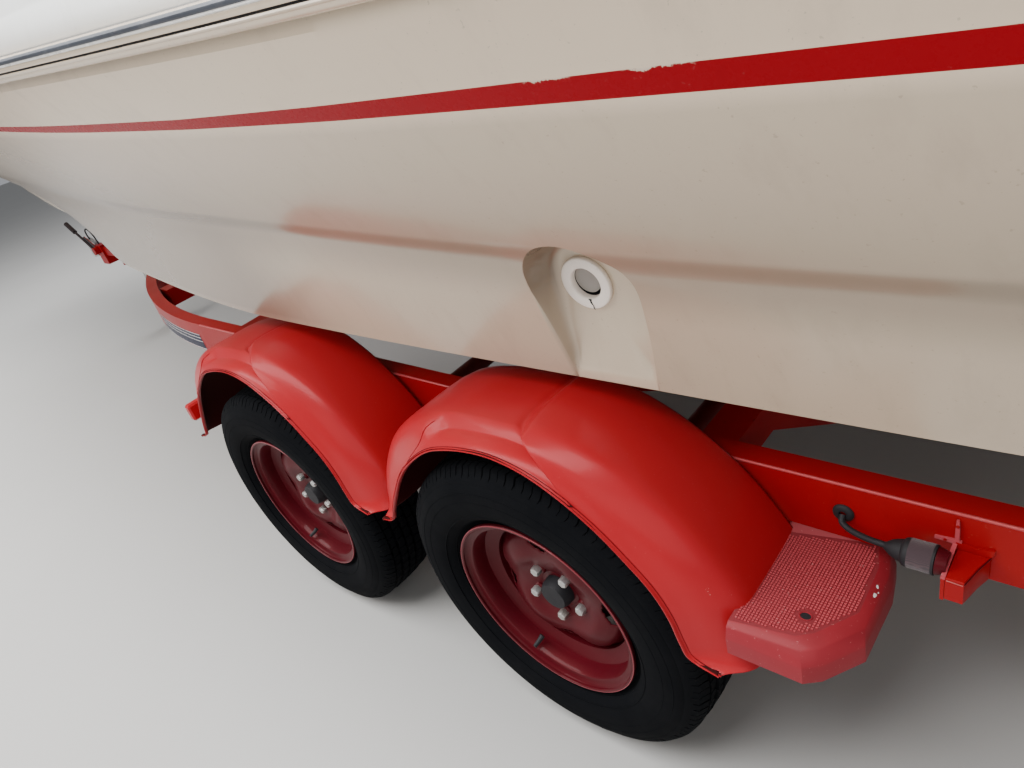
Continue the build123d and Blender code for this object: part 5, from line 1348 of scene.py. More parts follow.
def tyre(name, cx, cz, s, body, seed):
    b = Build()
    c = W(cx, s * 874, cz)
    ax_ = Vector((0, s, 0))
    half = [(y / 1000, r / 1000) for y, r in TP]
    # lettering-free sidewall: bead ring and two thin decorative ribs
    p = []
    for y, r in half:
        p.append((y, r))
    left = p
    right = [(-y, r) for y, r in reversed(p)]
    base = [(-0.070, 0.3105), (-0.055, 0.3135), (0.055, 0.3135), (0.070, 0.3105)]
    prof_ = left + base + right
    # close inside
    b.lathe(prof_ + [(0.0615, 0.1795), (-0.0615, 0.1795)], c, ax_, 128, 0, closed=True)
    # sidewall ribs
    for sgn in (-1, 1):
        for (yy, rr, rad) in ((0.0905, 0.276, 0.0011), (0.0922, 0.2585, 0.0008), (0.0868, 0.2225, 0.0012), (0.073, 0.2075, 0.0016)):
            ring = []
            u = ax_.orthogonal().normalized()
            w = ax_.cross(u)
            for i in range(72):
                th = 2 * math.pi * i / 72
                ring.append(c + ax_ * (sgn * (yy - rad * 0.4)) + (u * math.cos(th) + w * math.sin(th)) * rr)
            b.tube(ring, rad, 6, 0, closed=True)
    # tread: zigzag ribs cut in blocks, shoulder lugs
    u = Vector((1, 0, 0))
    w = ax_.cross(u)
    rnd = random.Random(seed)
    N = 66

    def pt(th, y, r):
        return c + ax_ * (y) + (u * math.cos(th) + w * math.sin(th)) * r
    ribs = [(-0.0445, 0.0145, 0.0), (-0.0222, 0.0150, 0.5), (0.0, 0.0150, 0.0), (0.0222, 0.0150, 0.5), (0.0445, 0.0145, 0.0)]
    for k in range(N):
        a0 = 2 * math.pi * k / N
        da = 2 * math.pi / N
        for yc, wd, ph in ribs:
            g = 0.10
            t0, t1 = a0 + da * (ph + g / 2), a0 + da * (ph + 1 - g / 2)
            tm = (t0 + t1) / 2
            zz = 0.0026
            rtop = 0.3250 - 0.5 * abs(yc) ** 2 * 3.2
            q = []
            for (tt, sg) in ((t0, 1), (tm, -1), (t1, 1)):
                for yy in (yc - wd / 2 + sg * zz * 0.5, yc + wd / 2 + sg * zz * 0.5):
                    q.append((tt, yy))
            vs = [pt(t, y, 0.3125) for t, y in q] + [pt(t, y, rtop) for t, y in q]
            fs = [(6, 7, 9, 8), (8, 9, 11, 10), (0, 6, 8, 2), (2, 8, 10, 4), (1, 3, 9, 7), (3, 5, 11, 9), (0, 1, 7, 6), (4, 10, 11, 5)]
            b.add(vs, fs, 0)
    NS = 112
    for k in range(NS):
        a0, da = 2 * math.pi * k / NS, 2 * math.pi / NS
        for sgn in (-1, 1):
            wob = 0.10 * math.sin(k * 1.7 + sgn) + 0.05 * math.sin(k * 0.63)
            t0, t1 = a0 + da * (0.05 + wob * 0.5), a0 + da * (0.88 + wob * 0.5)
            yi, ym, yo, ye = 0.0560, 0.0660, 0.0745, 0.0800 + 0.0008 * math.sin(k * 2.1)
            vs = []
            for t in (t0, t1):
                vs += [pt(t, sgn * yi, 0.3115), pt(t, sgn * yi, 0.3216), pt(t + 0.25 * da, sgn * ym, 0.3190), pt(t, sgn * yo, 0.3130), pt(t + 0.15 * da, sgn * ye, 0.3028),
                       pt(t, sgn * 0.0775, 0.3010), pt(t, sgn * ym, 0.3095)]
            nn = 7
            fs = [tuple(range(nn)), tuple(range(2 * nn - 1, nn - 1, -1))] + [(i, (i + 1) % nn, nn + (i + 1) % nn, nn + i) for i in range(nn)]
            b.add(vs, fs, 0)
    # valve stem rides on the rim; tyre done
    o = b.obj(name, [M["tyre"]], 32, body)
    return o


# ------------------------------------------------------------------ road wheels
def rim(name, cx, cz, s, body, dark_cap):
    c = W(cx, s * 874, cz)
    ax_ = Vector((0, s, 0))
    b = Build()
    # barrel with rolled flanges, 3 mm sheet
    out = [(0.0760, 0.1900), (0.0762, 0.1935), (0.0740, 0.1952), (0.0690, 0.1950), (0.0660, 0.1925), (0.0640, 0.1880), (0.0625, 0.1800), (0.0590, 0.1775), (0.0400, 0.1765),
           (0.0300, 0.1755), (0.0240, 0.1640), (0.0180, 0.1500), (-0.0320, 0.1500), (-0.0380, 0.1640), (-0.0430, 0.1755), (-0.0600, 0.1775), (-0.0640, 0.1880), (-0.0690, 0.1940), (-0.0700, 0.1940)]
    inn = [(y, r - 0.0035) for y, r in out[::-1]]
    inn[-1] = (0.0745, 0.1885)
    b.lathe(out + inn, c, ax_, 96, 0, closed=True)
    # disc: polar grid with four windows near the barrel; raised lobes between
    NR, NA = 26, 120
    r0, r1 = 0.036, 0.1485
    u = Vector((1, 0, 0))
    w = ax_.cross(u)

    def height(r, th):
        lobes = 0.5 + 0.5 * math.cos(4 * (th - math.radians(45)))
        t = (r - r0) / (r1 - r0)
        base = 0.014 + 0.016 * math.sin(math.pi * min(1, t * 1.05)) ** 1.0
        base += 0.010 * lobes * smooth((t - 0.25) / 0.3) * (1 - smooth((t - 0.85) / 0.15))
        return base - 0.010 * smooth((t - 0.82) / 0.18)
    vs = []
    for i in range(NR):
        r = mix(r0, r1, i / (NR - 1))
        for k in range(NA):
            th = 2 * math.pi * k / NA
            vs.append(c + ax_ * height(r, th) + (u * math.cos(th) + w * math.sin(th)) * r)
    fs = []
    for i in range(NR - 1):
        for k in range(NA):
            rm = mix(r0, r1, (i + 0.5) / (NR - 1))
            th = 2 * math.pi * (k + 0.5) / NA
            ph = (math.degrees(th) % 90.0) - 0.0
            ph = ph if ph < 45 else ph - 90
            rr, hw = (rm - 0.122) / 0.0165, ph / (15.5 + (rm - 0.122) * 160)
            if rr * rr + hw * hw < 1.0:
                continue
            l = (k + 1) % NA
            fs.append((i * NA + k, i * NA + l, (i + 1) * NA + l, (i + 1) * NA + k))
    b2 = Build()
    b2.add(vs, fs)
    o2 = b2.obj(name + "_disc", [M["wheel"]], 40, body)
    so = o2.modifiers.new("t", "SOLIDIFY")
    so.thickness = 0.004
    so.offset = -1
    sb = o2.modifiers.new("s", "SUBSURF")
    sb.levels = sb.render_levels = 1
    # hub flange, drum, nuts, cap
    b.lathe([(-0.098, 0.0202), (-0.098, 0.040), (-0.056, 0.040), (-0.056, 0.098), (-0.053, 0.100), (-0.012, 0.100), (-0.006, 0.097), (0.003, 0.072), (0.004, 0.024), (0.003, 0.0202)], c, ax_, 64, 1, closed=True)
    b.lathe([(0.003, 0.0202), (0.003, 0.045), (0.016, 0.045), (0.016, 0.0202)], c, ax_, 48, 0, closed=True)
    for i in range(5):
        th = 2 * math.pi * i / 5 + 0.3
        d = u * math.cos(th) + w * math.sin(th)
        cc = c + d * 0.0560
        b.lathe([(0.012, 0.0), (0.012, 0.0150), (0.021, 0.0145), (0.024, 0.0120), (0.024, 0.0)], cc, ax_, 24, 0)
        b.lathe([(0.022, 0.0098), (0.036, 0.0098), (0.038, 0.0084), (0.038, 0.0)], cc, ax_, 6, 2)
    b.lathe([(0.0155, 0.0), (0.0155, 0.0320), (0.030, 0.0310), (0.0405, 0.0270), (0.0415, 0.0200), (0.0415, 0.0)], c, ax_, 40, 3 if dark_cap else 0)
    # painted highlight: a thin ring of paler paint along the rim's rolled flange
    rg = [c + ax_ * 0.0752 + (u * math.cos(2 * math.pi * i / 96) + w * math.sin(2 * math.pi * i / 96)) * 0.1936 for i in range(96)]
    b.tube(rg, 0.0012, 8, 4, closed=True)
    # valve
    d = u * math.cos(1.1) + w * math.sin(1.1)
    b.tube([c + d * 0.150 + ax_ * 0.046, c + d * 0.157 + ax_ * 0.056, c + d * 0.160 + ax_ * 0.070], [0.0055, 0.0048, 0.0040], 10, 3)
    o = b.obj(name, [M["wheel"], M["spring"], M["zinc"], M["black"], M["wheel_edge"]], 35, body)
    return o


k_ = 0
for n_, cx, cz in (("rear", 0.0, 0.0), ("front", FX, FZ)):
    for sd, s in (("left", 1), ("right", -1)):
        body = "wheel_%s_%s" % (n_, sd)
        t_ = tyre("tyre_%s_%s_mesh" % (n_, sd), cx, cz, s, body, k_)
        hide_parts("tyre_%s_%s" % (n_, sd))
        r_ = rim("rim_%s_%s" % (n_, sd), cx, cz, s, body, True)
        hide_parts("road_wheel_%s_%s" % (n_, sd))
        k_ += 1

# ------------------------------------------------------------------ steps
for s, sd in ((1, "left"), (-1, "right")):
    b = Build()
    ZT = 172.6
    out = [(-376, 690), (-500, 690), (-526, 722), (-535.5, 770), (-535.5, 878), (-500, 932), (-480, 947.5), (-376, 949.5)]
    mid = [(-376, 692), (-495, 692), (-520, 722), (-530, 768), (-530.5, 866), (-494, 922), (-474, 936), (-376, 944)]
    ins = [(-376, 696), (-484, 696), (-504, 726), (-515, 762), (-518, 848), (-481, 905), (-462, 920), (-376, 936)]

    def P_(x, y, z):
        return W(x, s * y, z)
    # rim: two folded facets round a flat top
    n = len(out)
    rows = [[(x, y, 118.2) for x, y in out], [(x, y, ZT - 26) for x, y in out], [(mix(a[0], b_[0], 0.12), mix(a[1], b_[1], 0.12), ZT - 22.5) for a, b_ in zip(out, mid)],
            [(mix(a[0], b_[0], 0.9), mix(a[1], b_[1], 0.9), ZT - 7.5) for a, b_ in zip(out, mid)],
            [(mix(a[0], b_[0], 0.10), mix(a[1], b_[1], 0.10), ZT - 5.2) for a, b_ in zip(mid, ins)],
            [(mix(a[0], b_[0], 0.92), mix(a[1], b_[1], 0.92), ZT - 0.4) for a, b_ in zip(mid, ins)], [(x, y, ZT) for x, y in ins]]
    vs = [P_(*p) for r in rows for p in r]
    fs = []
    for r in range(len(rows) - 1):
        for i in range(n):
            j = (i + 1) % n
            fs.append((r * n + i, r * n + j, (r + 1) * n + j, (r + 1) * n + i))
    b.add(vs, fs)
    # flat floor inside the rim in darker paint: painted shade round and between the squares
    b.add([P_(x, y, ZT) for x, y in ins], [tuple(range(n))], 3)
    # small-square texture, outboard of the plain strip along the beam; the squares' tops take paler paint, a painted
    # highlight
    b.add([P_(x, y, ZT + 0.25) for x, y in ((-378, 698), (-483, 698), (-498, 720), (-391, 744), (-378, 746))], [(0, 1, 2, 3, 4)], 6)
    x = -512.0
    while x < -379:
        y = 722.0
        while y < 934:
            ok = y > 750 + (x + 391) * 0.227
            for (x0_, y0_), (x1_, y1_) in zip(ins, ins[1:] + ins[:1]):
                if x0_ == x1_ == -376:
                    continue
                cr = (x1_ - x0_) * (y - y0_) - (y1_ - y0_) * (x - x0_)
                if cr > -4.6 * math.hypot(x1_ - x0_, y1_ - y0_):
                    ok = False
            if ((x + 462) / 14) ** 2 + ((y - 884) / 12) ** 2 < 1.0:
                ok = False
            if ok:
                h0, h1 = 1.75, 1.30
                q = [P_(x - h0, y - h0, ZT), P_(x + h0, y - h0, ZT), P_(x + h0, y + h0, ZT), P_(x - h0, y + h0, ZT),
                     P_(x - h1, y - h1, ZT + 1.0), P_(x + h1, y - h1, ZT + 1.0), P_(x + h1, y + h1, ZT + 1.0), P_(x - h1, y + h1, ZT + 1.0)]
                b.add(q, [(4, 5, 6, 7)], 5)
                b.add(q, [(0, 1, 5, 4), (1, 2, 6, 5), (2, 3, 7, 6), (3, 0, 4, 7)])
            y += 4.45
        x += 4.45
    # drain hole: a black oval sheet stands in for the hole's shade, with a raised edge
    oc = [P_(-462 + 8.2 * math.cos(2 * math.pi * i / 24), 884 + 6.6 * math.sin(2 * math.pi * i / 24), ZT + 0.4) for i in range(24)]
    b.tube(oc, 0.0010, 6, 0, closed=True)
    b.add([P_(-462 + 8.0 * math.cos(2 * math.pi * i / 24), 884 + 6.4 * math.sin(2 * math.pi * i / 24), ZT + 0.3) for i in range(24)], [tuple(range(24))], 1)
    # two small paint nicks on the folded after side, and the screws by the beam
    for (x, y, z, r) in ((-524.6, 809, ZT - 3.6, 4.6), (-523.4, 794, ZT - 3.0, 3.6), (-527.0, 802, ZT - 5.2, 1.8)):
        rr = random.Random(int(y))
        ring = []
        for i in range(9):
            th = 2 * math.pi * i / 9
            q_ = r * rr.uniform(0.55, 1.0)
            ring.append(P_(x + 0.55 * q_ * math.cos(th), y + q_ * math.sin(th), z + 0.42 * q_ * math.cos(th) + 1.1))
        if s > 0:
            b.add(ring, [tuple(range(9))], 4)
    for (x, y) in ((-420, 706), (-496, 706)):
        b.lathe([(0.0, 0.0055), (0.0007, 0.0048), (0.0010, 0.0)], P_(x, y, ZT), D(0, 0, 1), 14, 2)
    o = b.obj("step_plate_" + sd, [M["step"], M["black"], M["zinc"], M["step_floor"], M["plastic"], M["step_sq"], M["step_strip"]], 30, "root")
    if s > 0:
        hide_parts("steps")
        steps_obj = o

# ------------------------------------------------------------------ lamp leads and lamps
LEAD = [(-456, 729, 221), (-458, 737, 214), (-472, 744.5, 211), (-493, 753, 213.5), (-511, 759, 217.5), (-529, 761, 218.5)]
for s, sd in ((1, "left"), (-1, "right")):
    b = Build()

    def L_(x, y, z):
        return W(x, s * y, z)
    # grommet
    b.lathe([(0.0, 0.0150), (0.0012, 0.0150), (0.0030, 0.0142), (0.0046, 0.0118), (0.0056, 0.0085), (0.0050, 0.0055), (0.0, 0.0050)], L_(-456, 725.3, 222), Vector((0, s, 0)), 28, 0, closed=True)
    # lead: out, round and back into the boot
    b.tube(catmull([L_(*p) for p in LEAD], 10), 0.0045, 12, 0)
    # boot over the plug, with a woven dusty sleeve
    d = (L_(-585, 761, 218) - L_(-526, 761, 218)).normalized()
    c0 = L_(-526, 761, 218)
    b.lathe([(-0.004, 0.0052), (0.0, 0.0075), (0.004, 0.0110), (0.010, 0.0134), (0.018, 0.0160)], c0, d, 40, 0)
    b.lathe([(0.018, 0.0160), (0.021, 0.0188), (0.024, 0.0199), (0.027, 0.0201)], c0, d, 40, 0)
    b.lathe([(0.027, 0.0201), (0.034, 0.0203), (0.042, 0.0201), (0.050, 0.0204), (0.0555, 0.0203)], c0, d, 40, 1)
    b.lathe([(0.0555, 0.0203), (0.0565, 0.0206), (0.0588, 0.0203)], c0, d, 40, 0)
    o = b.obj("lamp_lead_" + sd, [M["black"], M["sleeve"]], 50, "root")
    if s > 0:
        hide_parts("lamp_leads")
    b = Build()
    X, Y, Z = D(1, 0, 0), Vector((0, 1, 0)), D(0, 0, 1)
    # red neck behind the boot, in the darkened wheel paint: painted shade
    b.lathe([(0.0594, 0.0187), (0.0615, 0.0184), (0.066, 0.0172), (0.072, 0.0154)], c0, d, 32, 3)
    # star-shaped bracket flat on the beam: slim arms and a wide right-hand gusset; the arms are in paler paint, a
    # painted highlight
    yb = 727.3

    def slab(pts, y_in, y_out, mi=0):
        vs = [L_(x, y_in, z) for x, z in pts] + [L_(x, y_out, z) for x, z in pts]
        m_ = len(pts)
        b.add(vs, [tuple(range(m_)), tuple(range(2 * m_ - 1, m_ - 1, -1))] + [(i, (i + 1) % m_, m_ + (i + 1) % m_, m_ + i) for i in range(m_)], mi)
    slab([(-573.5, 224.6), (-573.5, 228.5), (-600, 230.5), (-605, 229.5), (-605, 224), (-598, 223.5)], 725.4, 729.0, 4)
    slab([(-597, 198), (-602.5, 198), (-602, 250), (-600.6, 264.5), (-597.6, 264.5), (-597, 250)], 725.4, 729.1, 4)
    slab([(-598.5, 228), (-618, 224.5), (-642, 228.5), (-641, 221), (-628, 200), (-598.5, 191)], 725.4, 729.2, 0)
        # mounting plate and lamp box; a thin strip of paler paint along the plate's top edge is a painted highlight
    for xa, xb, mi_ in ((-599.9, -595.4, 0), (-600.3, -595.0, 4)):
        g = ((728.5, 223.5), (785.0, 213.5), (785.0, 175.5), (728.5, 172.5)) if mi_ == 0 else ((728.5, 224.9), (785.4, 214.9), (785.4, 213.3), (728.5, 223.3))
        b.add([L_(x, y, z) for x in (xa, xb) for y, z in g], [(0, 1, 2, 3), (7, 6, 5, 4), (0, 4, 5, 1), (1, 5, 6, 2), (2, 6, 7, 3), (3, 7, 4, 0)], mi_)
    b.tube([L_(-621.8, 784.6, 213.0), L_(-630.3, 752, 214.0), L_(-638.4, 729, 215.0)], 0.0009, 6, 3)
    # painted highlight: a thin pale tube along the lamp box's outer face near its top
    b.tube([L_(-602, 785.1, 212.5), L_(-620.5, 785.1, 211.5)], 0.0007, 6, 2)
    pr = [(-600.3, 728.5), (-600.3, 784.5), (-607, 784.6), (-621.5, 784.6), (-630, 752), (-638.0, 728.5)]
    zs_ = ((176.4, 1.5), (178.0, 0.0), (214.6, 0.0), (216.0, 1.5))
    vs, fs = [], []
    cxp, cyp = sum(p[0] for p in pr) / 6, sum(p[1] for p in pr) / 6
    for z, ins_ in zs_:
        for x, y in pr:
            L = math.hypot(x - cxp, y - cyp)
            vs.append(L_(x - (x - cxp) / L * ins_, y - (y - cyp) / L * ins_, z))
    m_ = len(pr)
    for r in range(3):
        for i in range(m_):
            j = (i + 1) % m_
            fs.append((r * m_ + i, r * m_ + j, (r + 1) * m_ + j, (r + 1) * m_ + i))
    fs += [tuple(range(m_)), tuple(3 * m_ + i for i in range(m_ - 1, -1, -1))]
    b.add(vs, fs, 0)
    for (x, z) in ((-586, 227.0), (-599.6, 255)):
        b.lathe([(0.0, 0.0024), (0.0012, 0.0022), (0.0015, 0.0)], L_(x, 729.0, z), Vector((0, s, 0)), 12, 0)
    o = b.obj("side_lamp_" + sd, [M["red"], M["lens_red"], M["scuffed"], M["wheel"], M["arm"]], 35, "root")
    if s > 0:
        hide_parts("trailer_lamps")
    # rear lamp board: housing, three lenses with ribs
    b = Build()
    y0 = s * 710
    b.box(W(-1272, y0, 190), (0.026, 0.258, 0.118), (X, Y, Z), 0.006, 0)
    for k, (off, wd, mi) in enumerate(((-85, 76, 2), (-5, 76, 1), (76, 78, 1))):
        yy = y0 + s * (off)
        b.box(W(-1292, yy, 190), (0.018, wd / 1000, 0.100), (X, Y, Z), 0.006, mi)
        for r in range(-4, 5):
            b.box(W(-1301.4, yy, 190 + r * 10), (0.0016, wd / 1000 - 0.014, 0.003), (X, Y, Z), 0.0006, mi)
    b.obj("rear_lamp_" + sd, [M["dark"], M["lens_red"], M["lens_amber"]], 35, "root")
    # front marker lamp: white lens in a red shell
    b = Build()
    cm = W(819 + 419, s * 931, 150)
    b.box(cm, (0.026, 0.052, 0.050), (X, Y, Z), 0.005, 0)
    b.box(cm + X * 0.015, (0.014, 0.044, 0.042), (X, Y, Z), 0.006, 1)
    b.obj("marker_lamp_" + sd, [M["redg"], M["lens_white"]], 35, "root")

# ------------------------------------------------------------------ cushions
def cushion(name, c, size, axes, crown=0.10, channels=0, along=0, body="root", piping=True, mat=None, sim=False, rad=0.30):
    """Crowned cushion about centre c; size along the three axes; the third axis is its face."""
    ax_ = axes
    nx, ny, nz = max(10, int(size[0] / 0.016)), max(10, int(size[1] / 0.016)), max(4, int(size[2] / 0.016))
    hx, hy, hz = size[0] / 2, size[1] / 2, size[2] / 2
    bm = bmesh.new()
    idx = {}

    def vert(i, j, k):
        if (i, j, k) not in idx:
            a, b_, c_ = 2 * i / nx - 1, 2 * j / ny - 1, 2 * k / nz - 1
            # rounded box: pull corners in
            r = rad
            px, py, pz = a * hx, b_ * hy, c_ * hz
            e = min(hx, hy, hz) * r
            qx, qy, qz = max(-hx + e, min(hx - e, px)), max(-hy + e, min(hy - e, py)), max(-hz + e, min(hz - e, pz))
            d = Vector((px - qx, py - qy, pz - qz))
            if d.length > e:
                d = d.normalized() * e
            p = Vector((qx, qy, qz)) + d
            # crown on the face, and sides that pull in between corners
            ex, ey = 1 - abs(a) ** 2.6, 1 - abs(b_) ** 2.6
            lift = (crown * size[2]) * ex * ey
            if c_ > 0:
                p.z += lift * c_ - crown * size[2]
            pull = 0.012
            p.x -= math.copysign(pull * (1 - b_ * b_) * abs(a) ** 8, a)
            p.y -= math.copysign(pull * (1 - a * a) * abs(b_) ** 8, b_)
            # waist: the sides bulge at mid height
            p.x += math.copysign(0.006 * (1 - c_ * c_) * abs(a) ** 10, a) if abs(a) > 0.5 else 0
            p.y += math.copysign(0.006 * (1 - c_ * c_) * abs(b_) ** 10, b_) if abs(b_) > 0.5 else 0
            # sewn channels across the face
            if channels and c_ > 0.5:
                t = (a if along == 0 else b_)
                for q in range(1, channels + 1):
                    t0 = -1 + 2 * q / (channels + 1)
                    w_ = (t - t0) * (hx if along == 0 else hy)
                    edge = min(1.0, (1 - abs(b_ if along == 0 else a)) * 6)
                    p.z -= 0.011 * math.exp(-(w_ / 0.012) ** 2) * edge
            idx[(i, j, k)] = bm.verts.new(c + ax_[0] * p.x + ax_[1] * p.y + ax_[2] * p.z)
        return idx[(i, j, k)]
    for i in range(nx):
        for j in range(ny):
            bm.faces.new((vert(i, j, 0), vert(i, j + 1, 0), vert(i + 1, j + 1, 0), vert(i + 1, j, 0)))
            bm.faces.new((vert(i, j, nz), vert(i + 1, j, nz), vert(i + 1, j + 1, nz), vert(i, j + 1, nz)))
    for i in range(nx):
        for k in range(nz):
            bm.faces.new((vert(i, 0, k), vert(i + 1, 0, k), vert(i + 1, 0, k + 1), vert(i, 0, k + 1)))
            bm.faces.new((vert(i, ny, k), vert(i, ny, k + 1), vert(i + 1, ny, k + 1), vert(i + 1, ny, k)))
    for j in range(ny):
        for k in range(nz):
            bm.faces.new((vert(0, j, k), vert(0, j, k + 1), vert(0, j + 1, k + 1), vert(0, j + 1, k)))
            bm.faces.new((vert(nx, j, k), vert(nx, j + 1, k), vert(nx, j + 1, k + 1), vert(nx, j, k + 1)))
    bmesh.ops.recalc_face_normals(bm, faces=bm.faces)
    # light creases
    for v in bm.verts:
        n_ = noise.noise(v.co * 9.0) * 0.0022 + noise.noise(v.co * 23.0) * 0.0009
        v.co += v.normal * n_
    me = bpy.data.meshes.new(name)
    bm.to_mesh(me)
    bm.free()
    me.materials.append(mat or M["vinyl"])
    o = bpy.data.objects.new(name, me)
    bpy.context.scene.collection.objects.link(o)
    me.polygons.foreach_set("use_smooth", [True] * len(me.polygons))
    sb = o.modifiers.new("s", "SUBSURF")
    sb.levels = sb.render_levels = 1
    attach(o, body)
    if piping:
        b = Build()
        for face in (1, -1):
            loop = []
            zz = face * (hz - 0.010) - (crown * size[2] * 0.9 if face > 0 else 0)
            e = min(hx, hy, hz) * rad
            N = 10
            for (sx_, sy_) in ((1, 1), (-1, 1), (-1, -1), (1, -1)):
                for q in range(N + 1):
                    th = math.atan2(sy_, sx_) - math.pi / 4 + math.pi / 2 * q / N
                    rr = e * 0.93
                    px = sx_ * (hx - e) + rr * math.cos(th)
                    py = sy_ * (hy - e) + rr * math.sin(th)
                    loop.append((px, py))
                # straight part, pulled in like the cushion's side
                nxt = {(1, 1): (-1, 1), (-1, 1): (-1, -1), (-1, -1): (1, -1), (1, -1): (1, 1)}[(sx_, sy_)]
                for q in range(1, 8):
                    t = q / 8
                    if nxt[0] != sx_:
                        px, py = mix(sx_ * (hx - e), nxt[0] * (hx - e), t), sy_ * (hy - e + e * 0.93 - 0.012 * (1 - (1 - 2 * t) ** 2))
                    else:
                        px, py = sx_ * (hx - e + e * 0.93 - 0.012 * (1 - (1 - 2 * t) ** 2)), mix(sy_ * (hy - e), nxt[1] * (hy - e), t)
                    loop.append((px, py))
            b.tube([c + ax_[0] * p[0] + ax_[1] * p[1] + ax_[2] * zz for p in loop], 0.0042, 6, 0, closed=True)
        b.obj(name + "_piping", [M["vinyl_red"]], 60, body)
    return o


X_, Y_, Z_ = D(1, 0, 0), Vector((0, 1, 0)), D(0, 0, 1)
cushion("bench_cushion", W(-1076, 0, 812), (0.298, 1.252, 0.102), (X_, Y_, Z_), 0.12, 3, 1)
cushion("bench_backrest", W(-1281, 0, 955), (0.380, 1.252, 0.090), (-Z_, Y_, X_), 0.12, 5, 1)
for sd, s in (("port", 1), ("starboard", -1)):
    cushion("seat_cushion_" + sd, W(630, s * 570, 794), (0.452, 0.350, 0.102), (X_, Y_, Z_), 0.14, 3, 0)
    a = math.radians(-9)
    # backrest leans aft about its foot
    zc_, xc_ = 217, 2.5
    px = 430 + xc_ * math.cos(a) + zc_ * math.sin(a)
    pz = 866 - xc_ * math.sin(a) + zc_ * math.cos(a)
    up = D(math.sin(a), 0, math.cos(a))
    fw = D(math.cos(a), 0, -math.sin(a))
    cushion("seat_backrest_" + sd, W(px, s * 570, pz), (0.425, 0.342, 0.090), (-up, Y_, fw), 0.14, 3, 0)
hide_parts("seat_cushions")
pad = cushion("lid_cushion", W(-5, 0, 966), (0.930, 0.660, 0.070), (X_, Y_, Z_), 0.14, 3, 0, "engine_lid")
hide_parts("engine_lid_pad")


# berth: two wings of cushions with sewn panels, following the cabin's plan
def berth():
    outl = [(1725, 612), (2500, 534), (3200, 372), (3840, 186)]
    first = None
    for s in (1, -1):
        segs = [(1725, 2080), (2090, 2400)]
        for k, (xa, xb) in enumerate(segs):
            b = Build()
            NX, NY = 24, 22
            vs = []

            def P(i, j, top):
                u, v = i / (NX - 1), j / (NY - 1)
                x = mix(xa, xb, u)
                yo = lin(outl, x)[1]
                y = mix(194, yo, v)
                eu, ev = 1 - abs(2 * u - 1) ** 5, 1 - abs(2 * v - 1) ** 5
                z = 722 + (82 * (eu * ev) ** 0.28 if top else 0) - (0 if top else 0)
                if not top:
                    z = 722
                return W(mix(x, (xa + xb) / 2, 0.004), s * y, z)
            va, fa = grid(NX, NY, lambda i, j: P(i, j, True))
            vb, fb_ = grid(NX, NY, lambda i, j: P(i, j, False))
            b.add(va, fa)
            b.add(vb, [f[::-1] for f in fb_])
            o = b.obj("berth_cushion_%s_%d" % ("port" if s > 0 else "starboard", k), [M["berth"]], 60, "root")
            if first is None:
                first = o
    b = Build()
    NX, NY = 40, 36

    def Q(i, j, top):
        u, v = i / (NX - 1), j / (NY - 1)
        x = mix(2412, 3838, u)
        yo = lin(outl, x)[1]
        y = mix(-yo, yo, v)
        eu, ev = 1 - abs(2 * u - 1) ** 9, 1 - abs(2 * v - 1) ** 9
        z = 722 + (82 * max(0.0, eu * ev) ** 0.25 if top else 0)
        if top:
            z -= 5.0 * math.exp(-(y / 10.0) ** 2) + 5.0 * math.exp(-((x - 3100) / 12.0) ** 2)
        return W(x, y, z)
    va, fa = grid(NX, NY, lambda i, j: Q(i, j, True))
    vb, fb_ = grid(NX, NY, lambda i, j: Q(i, j, False))
    b.add(va, fa)
    b.add(vb, [f[::-1] for f in fb_])
    o = b.obj("berth_cushion_forward", [M["berth"]], 60, "root")
    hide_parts("berth_cushion")


berth()

# ------------------------------------------------------------------ helm
sw_c = W(1178, -512, 1050)
sw_n = D(-300, 0, 150)
sw_y = Vector((0, 1, 0))
sw_x = sw_y.cross(sw_n).normalized()
b = Build()
ring = [sw_c + (sw_x * math.cos(2 * math.pi * i / 72) + sw_y * math.sin(2 * math.pi * i / 72)) * 0.175 for i in range(72)]
b.tube(ring, 0.0118, 14, 0, closed=True)
for i in range(72):
    if i % 3 == 0:
        th = 2 * math.pi * i / 72
        d = sw_x * math.cos(th) + sw_y * math.sin(th)
        t = -sw_x * math.sin(th) + sw_y * math.cos(th)
        g = [sw_c + d * (0.175 + 0.0122 * math.cos(a)) + sw_n * 0.0122 * math.sin(a) for a in [2 * math.pi * q / 12 for q in range(12)]]
        b.tube(g, 0.0010, 5, 0, closed=True)
for a in (0, math.pi / 2, math.pi):
    d = sw_y * math.cos(a) - sw_x * math.sin(a) * 1.0
    side = sw_n.cross(d).normalized()
    NU = 10
    vs = []
    for i in range(NU):
        t = i / (NU - 1)
        r = mix(0.030, 0.170, t)
        wd = mix(0.015, 0.010, math.sin(math.pi * t)) + 0.002
        z = mix(0.002, -0.001, t)
        for (q, h) in ((-1, 0.0022), (1, 0.0022), (1, -0.0022), (-1, -0.0022)):
            vs.append(sw_c + d * r + side * wd * q + sw_n * (z + h))
    fs = []
    for i in range(NU - 1):
        for q in range(4):
            l = (q + 1) % 4
            fs.append((i * 4 + q, i * 4 + l, (i + 1) * 4 + l, (i + 1) * 4 + q))
    fs += [(0, 1, 2, 3), tuple((NU - 1) * 4 + q for q in (3, 2, 1, 0))]
    b.add(vs, fs, 1)
b.lathe([(-0.013, 0.0), (-0.013, 0.034), (0.004, 0.035), (0.011, 0.031), (0.0165, 0.020), (0.0175, 0.0)], sw_c, sw_n, 40, 0)
o = b.obj("steering_wheel_mesh", [M["dark"], M["alu"]], 40, "steering_wheel")
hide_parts("steering_wheel")
